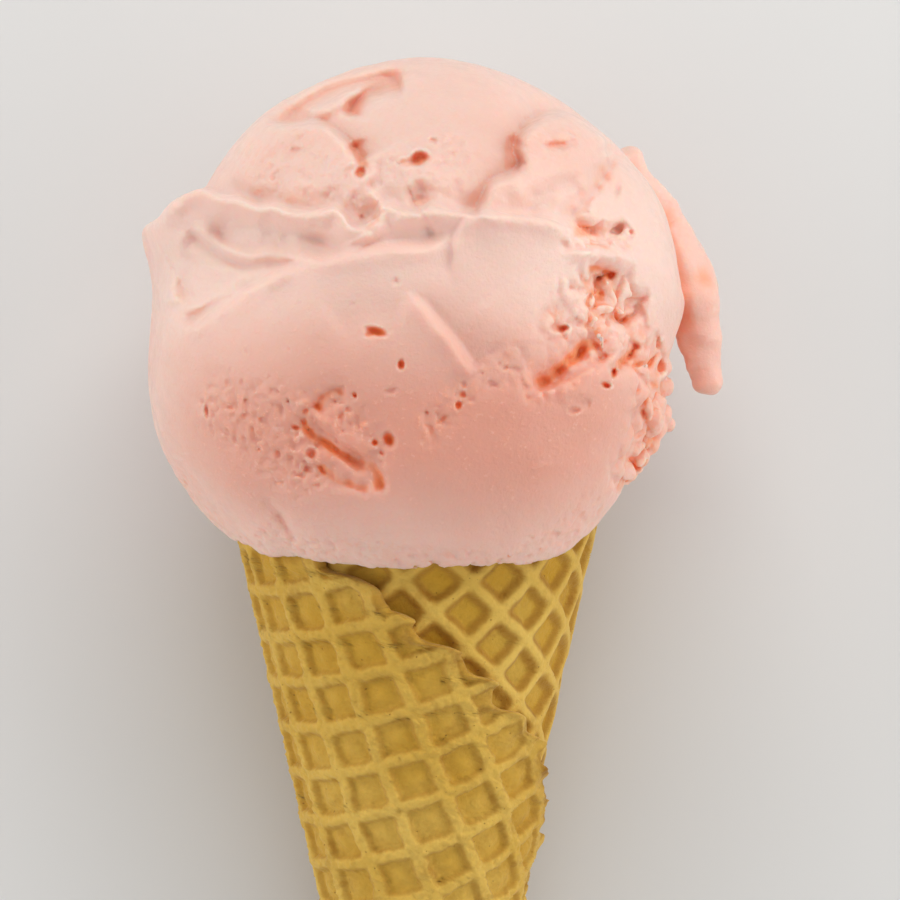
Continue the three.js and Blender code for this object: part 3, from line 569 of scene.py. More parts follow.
class Scoop:
    """The ice cream as a field in space: below zero inside, above zero outside, roughly in millimetres."""

    def __init__(self, seed):
        self.lumps = Lumps(seed)
        self.more = Lumps(seed + 1)
        self.shown = shown_side(self.lumps)
        self.far = far_side(self.more)
        self.tongue_line = curve_through(TONGUE, 1.2)
        self.tongue_widths = np.interp(
            np.linspace(0, 1, len(self.tongue_line)), np.linspace(0, 1, len(TONGUE_WIDTHS)), TONGUE_WIDTHS
        )

    def masses(self, p):
        """Seat and dome, without their marks."""
        x, y, z = np.moveaxis(p, -1, 0)
        azimuth = np.arctan2(x, z)
        lip = around(LIP_HEIGHTS, azimuth) + 0.5 * self.more.at(p * (1, 0.2, 1), 4.0)
        depth = around(SEAT_DEPTHS, azimuth)
        leftness = smooth(-np.sin(azimuth), 0.5, 1)
        flare = (LIP_FLARE + LIP_FLARE_LEFT * leftness) * np.exp(-(((lip - y) / LIP_FLARE_DEPTH) ** 2))
        level = np.abs(y - SEAT["y"]) / np.where(y < SEAT["y"], depth, SEAT["above"])
        out = np.hypot((x - SEAT["x"]) / SEAT["side"], z / SEAT["front"])
        power = SEAT["power"]
        body = ((out**power + level**power) ** (1 / power) - 1) * depth - flare
        seat = -soft_least(-body, lip - y - LIP_SLOPE * np.clip(-body, 0, 4), LIP_ROUNDING)
        up = y - DOME["y"]
        out = np.hypot((x - DOME["x"] - DOME["tilt"] * up) / DOME["side"], (z - DOME["z"]) / DOME["front"])
        power = DOME["power"]
        dome = ((out**power + (np.abs(up) / DOME["height"]) ** power) ** (1 / power) - 1) * DOME["height"]
        return soft_least(dome, seat, MELD)

    def tongue(self, p):
        """The soft tongue that has slipped down the right side."""
        best = np.full(p.shape[:-1], 1e9)
        squash = np.array([1.15, 1.0, 0.95])
        line, widths = self.tongue_line, self.tongue_widths
        for a, b, ra, rb in zip(line, line[1:], widths, widths[1:]):
            d = b - a
            share = np.clip((p - a) @ d / (d @ d), 0, 1)
            off = (p - a - share[..., None] * d) * squash
            best = np.minimum(best, np.sqrt((off**2).sum(-1)) - ra * (1 - share) - rb * share)
        for (a, b, c), reach, depth in TONGUE_DENTS:
            away = ((p - (a, b, c)) ** 2).sum(-1) / reach**2
            best += depth * np.exp(-away)
        return best - 0.8 * self.lumps.at(p, 4.6) - 0.35 * self.more.at(p, 2.1)

    def marks(self, p):
        """How far the cream rises above its plain masses, how crumbly and grainy it is, and how much painted
        shade its recesses get.
        """
        z = p[..., 2]
        front = smooth(z, -3.0, 7.0)
        back = smooth(-z, 3.0, 13.0)
        rise, crumbly, grainy, recess_shade = (part * front for part in self.shown.read(*seen(p)))
        for total, part in zip((rise, crumbly, grainy, recess_shade), self.far.read(-p[..., 0], p[..., 1])):
            total += part * back
        # painted shade in the tongue's dents
        for centre, reach, _ in TONGUE_DENTS:
            recess_shade = np.maximum(recess_shade, 0.6 * np.exp(-((p - centre) ** 2).sum(-1) / reach**2))
        rise += 0.5 * self.lumps.at(p, 15.0) + 0.28 * self.more.at(p, 7.0) + 0.07 * self.lumps.at(p, 2.6)
        busy = crumbly > 0.02
        if busy.any():
            here = p[busy]
            here = here + 0.8 * np.stack([self.more.at(here + shift, 2.6) for shift in (0, 40, 80)], -1)
            near, next_near = self.lumps.grain(here, 3.5)
            fine, next_fine = self.more.grain(here, 1.6)
            gap = (1 - smooth(next_near - near, 0, 0.45)) * smooth(self.lumps.at(here, 5.0), -0.5, 0.4)
            small_gap = (1 - smooth(next_fine - fine, 0, 0.5)) * smooth(self.more.at(here, 3.1), -0.2, 0.5)
            cobble = 0.45 - 0.85 * near**2 - 0.9 * gap + 0.4 * self.more.at(here, 4.2)
            small = 0.25 - 0.6 * fine**2 - 0.4 * small_gap
            rise[busy] += crumbly[busy] * (1.15 * cobble + 0.6 * small)
            # painted shade in the gaps between the crumbs
            crevice_shade = crumbly[busy] * (0.75 * gap + 0.4 * small_gap - 0.25)
            recess_shade[busy] = np.maximum(recess_shade[busy], crevice_shade)
        busy = grainy > 0.02
        if busy.any():
            here = p[busy]
            fine, _ = self.more.grain(here, 1.0)
            pits = smooth(self.lumps.at(here, 0.9), 0.15, 0.7)
            bumps = 0.34 * (0.3 - fine**2) + 0.22 * self.more.at(here, 1.9) - 0.4 * pits
            rise[busy] += grainy[busy] * bumps
            # painted shade in the grain's pits
            flecks = grainy[busy] * 0.5 * pits * smooth(self.more.at(here, 2.4), -0.2, 0.5)
            recess_shade[busy] = np.maximum(recess_shade[busy], flecks)
        return rise, crumbly, grainy, recess_shade

    def field(self, p):
        """The finished scoop with its plug, cut by the wafer and by the floor."""
        x, y, z = np.moveaxis(p, -1, 0)
        out = self.masses(p) - self.marks(p)[0]
        for (a, b, c), reach, depth in DENTS:
            away = ((x - a) ** 2 + (y - b) ** 2 + (z - c) ** 2) / reach**2
            out += depth * np.exp(-away)
        right = (x > 20) & (y > 2)
        if right.any():
            near = p[right]
            solid = soft_least(out[right], self.tongue(near), TONGUE_MELD)
            for a, b, c, size in CRUMBS_AT_EDGE:
                away = np.sqrt(((near - (a, b, c)) ** 2).sum(-1))
                crumb = away - size - 0.3 * self.more.at(near, 1.4)
                solid = soft_least(solid, crumb, CRUMB_MELD)
            out[right] = solid
        radius = np.hypot(x, z)
        wall = (y + APEX_DEPTH) * RIM_RADIUS / APEX_DEPTH
        inside = np.minimum(wall + WAFER_CLEAR - radius, 0.3 - y)
        out = -soft_least(-out, -inside, RIM_MELD)
        plug = np.maximum(radius - wall + PLUG_INSET, y - PLUG_TOP)
        out = np.minimum(out, plug)
        up = y * math.sin(LEAN) + z * math.cos(LEAN) + RIM_AT[2]
        return np.maximum(out, -up)

    def slope(self, p, step=0.05):
        """Field and its gradient."""
        here = self.field(p)
        ahead = [self.field(p + step * axis) for axis in np.eye(3)]
        return here, np.stack([(value - here) / step for value in ahead], -1)


def skin_of(field, low, step):
    """A mesh where the field is zero: a point in each cell that it crosses, a face across each edge."""
    shape = np.array(field.shape)
    inside = field < 0
    strides = np.array([shape[1] * shape[2], shape[2], 1])
    faces = []
    corners = []
    for axis in range(3):
        near = [slice(0, n - 1 if a == axis else n) for a, n in enumerate(shape)]
        far = [slice(1 if a == axis else 0, n) for a, n in enumerate(shape)]
        start = np.argwhere(inside[tuple(near)] != inside[tuple(far)])
        start = start[(start[:, (axis + 1) % 3] > 0) & (start[:, (axis + 2) % 3] > 0)]
        a = field[tuple(start.T)]
        end = start.copy()
        end[:, axis] += 1
        b = field[tuple(end.T)]
        crossing = start.astype(float)
        crossing[:, axis] += a / (a - b)
        flat = start @ strides
        u, v = strides[(axis + 1) % 3], strides[(axis + 2) % 3]
        ring = np.stack([flat, flat - u, flat - u - v, flat - v], 1)
        ring[b < 0] = ring[b < 0][:, ::-1]
        faces.append(ring)
        corners.append(np.repeat(crossing, 4, axis=0))
    rings = np.concatenate(faces)
    corners = np.concatenate(corners)
    _, place = np.unique(rings, return_inverse=True)
    place = place.ravel()
    points = np.stack([np.bincount(place, corners[:, axis]) for axis in range(3)], 1)
    return low + points / np.bincount(place)[:, None] * step, place.reshape(-1, 4)


def scoop_mesh(scoop, step):
    """Points and faces of the finished scoop, upright: only the space near its skin is worked out finely."""
    low, ratio = SPACE_LOW, COARSE_RATIO
    coarse = step * ratio
    count = np.ceil((SPACE_HIGH - low) / coarse).astype(int) + 1
    places = [low[axis] + np.arange(count[axis]) * coarse for axis in range(3)]
    nodes = np.stack(np.meshgrid(*places, indexing="ij"), -1)
    rough = scoop.field(nodes.reshape(-1, 3)).reshape(count)
    near = np.abs(rough) < NEAR_SKIN
    wide = near.copy()
    for axis in range(3):
        for shift in (1, -1):
            wide |= np.roll(near, shift, axis)
        near = wide.copy()
    fine = np.repeat(np.repeat(np.repeat(rough, ratio, 0), ratio, 1), ratio, 2).astype(np.float32)
    blocks = np.argwhere(wide)
    offsets = np.stack(np.meshgrid(*[np.arange(ratio)] * 3, indexing="ij"), -1).reshape(-1, 3)
    for part in np.array_split(blocks, max(1, len(blocks) // BLOCKS_AT_ONCE)):
        where = (part[:, None] * ratio + offsets).reshape(-1, 3)
        fine[tuple(where.T)] = scoop.field(low + where * step)
    points, faces = skin_of(fine, low, step)
    for _ in range(2):
        here, slope = scoop.slope(points)
        move = slope * (here / np.maximum((slope**2).sum(-1), 0.3))[:, None]
        length = np.linalg.norm(move, axis=1, keepdims=True)
        points = points - move * np.minimum(1, 0.5 * step / np.maximum(length, 1e-9))
    return points, faces


def close_plug(points, faces):
    """Leaves out the flat end of the plug and draws the plug down to a point inside the wafer's tip."""
    keep = ~(points[faces][..., 1] < PLUG_CUT).all(1)
    faces = faces[keep]
    edges = np.concatenate([faces[:, [i, (i + 1) % 4]] for i in range(4)])
    code = edges[:, 0].astype(np.int64) * len(points) + edges[:, 1]
    back = edges[:, 1].astype(np.int64) * len(points) + edges[:, 0]
    open_edges = edges[~np.isin(code, back)]
    follow = dict(zip(open_edges[:, 1].tolist(), open_edges[:, 0].tolist()))
    first = open_edges[0, 1]
    loop = [first]
    while follow[loop[-1]] != first:
        loop.append(follow[loop[-1]])
    loop = np.array(loop)
    rows = []
    extra = []
    ring = loop
    top = points[loop]
    for share in PLUG_RINGS:
        y = top[:, 1] * (1 - share) + PLUG_TIP * share
        scale = (y + APEX_DEPTH) * RIM_RADIUS / APEX_DEPTH - PLUG_INSET
        radius = np.hypot(top[:, 0], top[:, 2])
        extra.append(np.stack([top[:, 0] / radius * scale, y, top[:, 2] / radius * scale], 1))
        start = len(points) + sum(len(e) for e in extra[:-1])
        lower = start + np.arange(len(loop))
        rows.append(np.stack([ring, np.roll(ring, -1), np.roll(lower, -1), lower], 1))
        ring = lower
    points = np.concatenate([points] + extra + [[[0.0, PLUG_TIP, 0.0]]])
    quads = np.concatenate([faces] + rows)
    cap = np.stack([ring, np.roll(ring, -1), np.full(len(ring), len(points) - 1)], 1)
    return points, quads, cap


# ---- Node trees


class Term:
    """A number in a node tree: a sum written with it adds the tree's own maths nodes."""

    def __init__(self, plan, socket):
        self.plan = plan
        self.socket = socket

    def __add__(self, other):
        return self.plan.maths("ADD", self, other)

    def __radd__(self, other):
        return self.plan.maths("ADD", other, self)

    def __sub__(self, other):
        return self.plan.maths("SUBTRACT", self, other)

    def __rsub__(self, other):
        return self.plan.maths("SUBTRACT", other, self)

    def __mul__(self, other):
        return self.plan.maths("MULTIPLY", self, other)

    def __rmul__(self, other):
        return self.plan.maths("MULTIPLY", other, self)

    def __truediv__(self, other):
        return self.plan.maths("DIVIDE", self, other)

    def __rtruediv__(self, other):
        return self.plan.maths("DIVIDE", other, self)

class Plan:
    """A node tree being drawn. node() adds any node: its settings first, then its sockets."""

    def __init__(self, tree):
        self.tree = tree

    def node(self, kind, settings=None, sockets=None):
        node = self.tree.nodes.new(kind)
        for name, setting in (settings or {}).items():
            setattr(node, name, setting)
        for name, value in (sockets or {}).items():
            if isinstance(value, Term):
                self.tree.links.new(value.socket, node.inputs[name])
            else:
                node.inputs[name].default_value = value
        return node

    def term(self, kind, settings=None, sockets=None, out=0):
        return Term(self, self.node(kind, settings, sockets).outputs[out])

    def maths(self, operation, *values):
        return self.term("ShaderNodeMath", {"operation": operation}, dict(enumerate(values)))

    def smooth(self, value, low=0.0, high=1.0):
        """Rises softly from 0 at low to 1 at high."""
        sockets = {"Value": value, "From Min": low, "From Max": high}
        return self.term("ShaderNodeMapRange", {"interpolation_type": "SMOOTHSTEP"}, sockets)

    def band(self, value, low, full, fading, gone):
        """Rises softly from low to full, and falls softly from fading to gone."""
        return self.smooth(value, low, full) * (1 - self.smooth(value, fading, gone))

    def bound(self, value, low=0.0, high=1.0):
        return self.maths("MINIMUM", self.maths("MAXIMUM", value, low), high)

    def noise(self, place, scale, detail=2.0, roughness=0.5):
        """Noise from about 0 to 1."""
        sockets = {"Vector": place, "Scale": scale, "Detail": detail, "Roughness": roughness}
        return self.term("ShaderNodeTexNoise", None, sockets)

    def dots(self, place, scale):
        """Distance to the nearest of scattered dots, as a share of how far apart they are."""
        return self.term("ShaderNodeTexVoronoi", {"feature": "F1"}, {"Vector": place, "Scale": scale})

    def split(self, vector):
        node = self.node("ShaderNodeSeparateXYZ", None, {0: vector})
        return [Term(self, socket) for socket in node.outputs]

    def join(self, x, y, z):
        return self.term("ShaderNodeCombineXYZ", None, {0: x, 1: y, 2: z})

    def blend(self, share, first, second, mode="MIX"):
        """Two colours mixed."""
        settings = {"data_type": "RGBA", "blend_type": mode, "clamp_factor": True}
        return self.term("ShaderNodeMix", settings, {0: share, 6: first, 7: second}, out=2)

    def grey(self, tone):
        return self.term("ShaderNodeCombineColor", None, {0: tone, 1: tone, 2: tone})

    def attribute(self, name, out="Fac"):
        """A number, or a vector, that is kept with the mesh."""
        return self.term("ShaderNodeAttribute", {"attribute_name": name}, None, out=out)

    def coordinates(self):
        return self.term("ShaderNodeTexCoord", None, None, out="Object")

    def to_rib(self, along, pitch):
        """How far a place on the flat wafer lies from the middle of the nearest rib, one way."""
        share = self.maths("FRACT", along / pitch)
        return (0.5 - self.maths("ABSOLUTE", share - 0.5)) * pitch

    def cell(self, across, up, pitch, half, wall):
        """1 on the floor of a pressed cell, 0 on the ribs, and between on its walls."""
        one = self.smooth(self.to_rib(across, pitch), half, half + wall)
        other = self.smooth(self.to_rib(up, pitch), half, half + wall)
        return one * other


def new_material(name):
    """A material and the plan of its emptied tree."""
    material = bpy.data.materials.new(name)
    material.use_nodes = True
    material.node_tree.nodes.clear()
    return material, Plan(material.node_tree)


def finish_material(plan, sockets, bump=None):
    """Ends a material in one Principled shader, with bumps given as (height, distance, strength)."""
    normal = None
    for height, distance, strength in bump or ():
        links = {"Height": height, "Distance": distance, "Strength": strength}
        if normal is not None:
            links["Normal"] = normal
        normal = plan.term("ShaderNodeBump", None, links)
    if normal is not None:
        sockets = {**sockets, "Normal": normal}
    shader = plan.node("ShaderNodeBsdfPrincipled", None, sockets)
    output = plan.node("ShaderNodeOutputMaterial")
    plan.tree.links.new(shader.outputs[0], output.inputs["Surface"])


def wafer_material(settings):
    """Baked sugar wafer: tan ribs and floors, cell walls darker for toasting and for painted shade, pinholes
    darkened with painted shade, and the torn lap edge darkened with painted shadow and some scorching.
    """
    material, plan = new_material("baked wafer")
    place = plan.coordinates()
    across, up, lap = plan.split(plan.attribute("sheet", "Vector"))
    sunk, outermost = plan.attribute("sunk"), plan.attribute("outermost")
    pitch = settings.rib_pitch * 1000
    flat = plan.join(across, up, 0.0)
    half = settings.rib_half * 1000 * outermost + settings.inner_rib_half * 1000 * (1 - outermost)
    width = settings.wall * 1000 * outermost + settings.inner_wall * 1000 * (1 - outermost)
    ragged = (plan.noise(flat, 0.6, 3.0, 0.6) - 0.5) * (outermost * 0.9 + 0.12)
    depth = plan.cell(across, up, pitch, half + ragged - 0.1, width + 0.2)
    # the cell walls: darker partly for toasting and partly as painted shade in the cells
    wall = depth * (1 - depth) * 4
    broad = plan.noise(place, 60.0, 3.0)
    toast = plan.noise(place, 240.0, 4.0, 0.6)
    grain = plan.noise(place, 1100.0, 4.0, 0.65)
    crumb = plan.noise(place, 3200.0, 3.0, 0.6)
    # pinholes: bumped in, and darkened in colour with painted shade
    pin = 1 - plan.smooth(plan.dots(flat, 0.62), 0.02, 0.10)
    # fades away from the lap edge; with the toast noise it paints the shadow along and under the lap edge,
    # with some toasting
    torn = plan.maths("EXPONENT", lap * -0.5)
    pale = (1 - depth) * (0.65 - outermost * 0.3) + plan.smooth(broad, 0.35, 0.7) * 0.5 + outermost * 0.2
    colour = plan.blend(plan.bound(pale), (*settings.colour, 1), (*settings.pale_colour, 1))
    spots = plan.smooth(toast, 0.5, 0.78) * 0.45 + plan.smooth(grain, 0.55, 0.75) * 0.18
    # darker on the walls, toast spots, lap edge and pinholes: toasting with painted shade on the walls,
    # painted shadow along the lap and painted shade in the pinholes
    toast_and_shade_mix = plan.bound(wall * (0.72 - outermost * 0.35) + spots + torn * (toast * 0.6) + pin * 0.5)
    colour = plan.blend(toast_and_shade_mix, colour, (*settings.toast_and_shade_colour, 1))
    # darker still along the lap edge and in the pinholes: painted shadow and shade, with some scorching
    scorch_and_shade_mix = plan.bound(torn * plan.smooth(toast, 0.4, 0.65) * 0.3 + pin * 0.35)
    colour = plan.blend(scorch_and_shade_mix, colour, (*settings.scorch_and_shade_colour, 1))
    speckled = plan.blend(1.0, colour, plan.grey(grain * 0.3 + 0.86), "MULTIPLY")
    look = {
        "Base Color": speckled,
        "Roughness": plan.bound(0.58 + grain * 0.25 - sunk * 0.04),
        "Subsurface Weight": 0.1,
        "Subsurface Radius": (0.0012, 0.0006, 0.0002),
        "Subsurface Scale": 1.0,
        "Specular IOR Level": 0.18,
        "Sheen Weight": 0.15,
        "Sheen Roughness": 0.5,
        "Sheen Tint": (1.0, 0.88, 0.66, 1.0),
    }
    finish_material(plan, look, [(grain, 0.0003, 0.75), (crumb, 0.0001, 0.55), (1 - pin, 0.0002, 0.6)])
    return material


def cream_material(settings):
    """Pale pink ice cream: satin, translucent, with painted shade warmer and darker in its hollows and on the
    front mass, painted light paler on its thin edges, upper folds and top, and fine ice grain.
    """
    material, plan = new_material("pink ice cream")
    place = plan.coordinates()
    hollow, wide, edge = plan.attribute("hollow"), plan.attribute("wide_hollow"), plan.attribute("edge")
    torn, recess_shade = plan.attribute("torn"), plan.attribute("recess_shade")
    cloud = plan.noise(place, 45.0, 3.0)
    mottle = plan.noise(place, 330.0, 4.0, 0.6)
    speck = plan.noise(place, 1100.0, 3.0, 0.6)
    grain = plan.noise(place, 2300.0, 3.0, 0.6)
    colour = plan.blend(plan.smooth(cloud, 0.3, 0.7), (*settings.colour, 1), (*settings.pale_colour, 1))

    # painted shade: the front mass below the folds is darker and fuller in colour; painted light: the folds
    # above it are paler
    _, along, height = plan.split(place)
    thick = plan.smooth(height, 0.040, 0.062) * plan.band(along, 0.014, 0.028, 0.032, 0.047)
    colour = plan.blend(thick * 0.82, colour, (*settings.front_shade_colour, 1))
    flecks = plan.smooth(speck, 0.5, 0.72) * (torn * 0.4 + 0.2)
    colour = plan.blend(flecks, colour, (*settings.shade_and_fleck_colour, 1))
    # painted shade: the hollows and wide hollows are warmer and darker
    warm = plan.smooth(wide, 0.25, 1.0) * 0.6 + plan.smooth(hollow, 0.4, 1.0) * 0.45
    colour = plan.blend(plan.bound(warm), colour, (*settings.shade_and_fleck_colour, 1))
    colour = plan.blend(torn * plan.smooth(mottle, 0.5, 0.68) * 0.35, colour, (*settings.shade_and_fleck_colour, 1))
    # painted shade in pits, grooves, crevices and torn hollows, in orange-red
    deep = plan.bound(plan.smooth(recess_shade, 0.05, 1.0) * 0.95 + plan.smooth(hollow, 0.6, 1.0) * torn * 0.25)
    colour = plan.blend(deep, colour, (*settings.recess_shade_colour, 1))
    # painted light: the folds above the front mass are paler
    folds = plan.band(along, 0.042, 0.052, 0.060, 0.072) * plan.smooth(height, 0.036, 0.052)
    colour = plan.blend(folds * (1 - deep) * 0.5, colour, (*settings.frost_and_highlight_colour, 1))
    # painted light: thin edges and the top of the dome are paler; the fine ice grain is paler too
    frost_and_highlight = plan.smooth(edge, 0.3, 0.95) * (1 - deep) * (0.4 - torn * 0.15)
    frost_and_highlight = frost_and_highlight + plan.smooth(along, 0.05, 0.085) * 0.3 + plan.smooth(speck, 0.6, 0.72) * 0.2
    colour = plan.blend(plan.bound(frost_and_highlight), colour, (*settings.frost_and_highlight_colour, 1))
    look = {
        "Base Color": colour,
        "Roughness": plan.bound(0.30 + mottle * 0.2 + torn * 0.15, 0.2, 0.8),
        "Subsurface Weight": 0.7,
        "Subsurface Radius": (0.0024, 0.0010, 0.0006),
        "Subsurface Scale": 1.0,
        "IOR": 1.36,
        "Coat Weight": plan.smooth(mottle, 0.35, 0.75) * 0.3,
        "Coat Roughness": 0.15,
        "Sheen Weight": 0.15,
        "Sheen Roughness": 0.4,
        "Sheen Tint": (1.0, 0.85, 0.78, 1.0),
    }
    finish_material(plan, look, [(mottle, 0.0005, 0.3), (speck, 0.0002, 0.6), (grain, 0.0001, 0.7)])
    return material


def floor_material(settings):
    """Plain pale matte floor with the faintest unevenness."""
    material, plan = new_material("pale floor")
    place = plan.coordinates()
    grain = plan.noise(place, 400.0, 3.0)
    cloud = plan.smooth(plan.noise(place, 6.0, 2.0), 0.2, 0.8)
    tone = plan.blend(cloud, (*settings.floor_colour, 1), (0.70, 0.70, 0.695, 1))
    finish_material(plan, {"Base Color": tone, "Roughness": grain * 0.1 + 0.6}, [(grain, 0.00003, 0.2)])
    return material


# ---- Geometry


def new_tree(name, inputs):
    """A geometry tree with named inputs, given as (name, socket type, value), and their terms."""
    tree = bpy.data.node_groups.new(name, "GeometryNodeTree")
    tree.interface.new_socket("Geometry", in_out="INPUT", socket_type="NodeSocketGeometry")
    tree.interface.new_socket("Geometry", in_out="OUTPUT", socket_type="NodeSocketGeometry")
    for label, kind, value in inputs:
        socket = tree.interface.new_socket(label, in_out="INPUT", socket_type=kind)
        if value is not None:
            socket.default_value = value
    plan = Plan(tree)
    start = plan.node("NodeGroupInput")
    return plan, {socket.name: Term(plan, socket) for socket in start.outputs if socket.name}


def end_tree(plan, geometry, material):
    """Realizes instances, sets the material and ends the tree."""
    geometry = plan.term("GeometryNodeRealizeInstances", None, {"Geometry": geometry})
    geometry = plan.term("GeometryNodeSetMaterial", None, {"Geometry": geometry, "Material": material})
    output = plan.node("NodeGroupOutput")
    plan.tree.links.new(geometry.socket, output.inputs[0])


def with_modifier(mesh, name, kind):
    """An object that carries the mesh and one modifier."""
    carrier = bpy.data.objects.new(mesh.name + "_carrier", mesh)
    bpy.context.scene.collection.objects.link(carrier)
    return carrier, carrier.modifiers.new(name, kind)


def settled(carrier, name):
    """What the carrier's modifier makes, as a plain mesh. The carrier goes."""
    evaluated = carrier.evaluated_get(bpy.context.evaluated_depsgraph_get())
    made = bpy.data.meshes.new_from_object(evaluated)
    made.name = name
    bpy.data.objects.remove(carrier)
    return made


def grow(name, plan, values):
    """Runs a geometry tree, with its inputs set by their identifiers, and keeps a plain mesh."""
    carrier, modifier = with_modifier(bpy.data.meshes.new(name), name, "NODES")
    modifier.node_group = plan.tree
    for item in plan.tree.interface.items_tree:
        if item.item_type == "SOCKET" and item.in_out == "INPUT" and item.name in values:
            modifier[item.identifier] = values[item.name]
    return settled(carrier, name)


def thinned(mesh, most):
    """The mesh with no more than most triangles."""
    mesh.calc_loop_triangles()
    count = len(mesh.loop_triangles)
    if count <= most:
        return mesh
    carrier, modifier = with_modifier(mesh, "fewer faces", "DECIMATE")
    modifier.ratio = most / count
    made = settled(carrier, mesh.name)
    bpy.data.meshes.remove(mesh)
    return made


def piece(name, mesh, material):
    """A finished piece at the origin, smooth shaded."""
    obj = bpy.data.objects.new(name, mesh)
    bpy.context.scene.collection.objects.link(obj)
    mesh.materials.clear()
    mesh.materials.append(material)
    mesh.shade_smooth()
    return obj


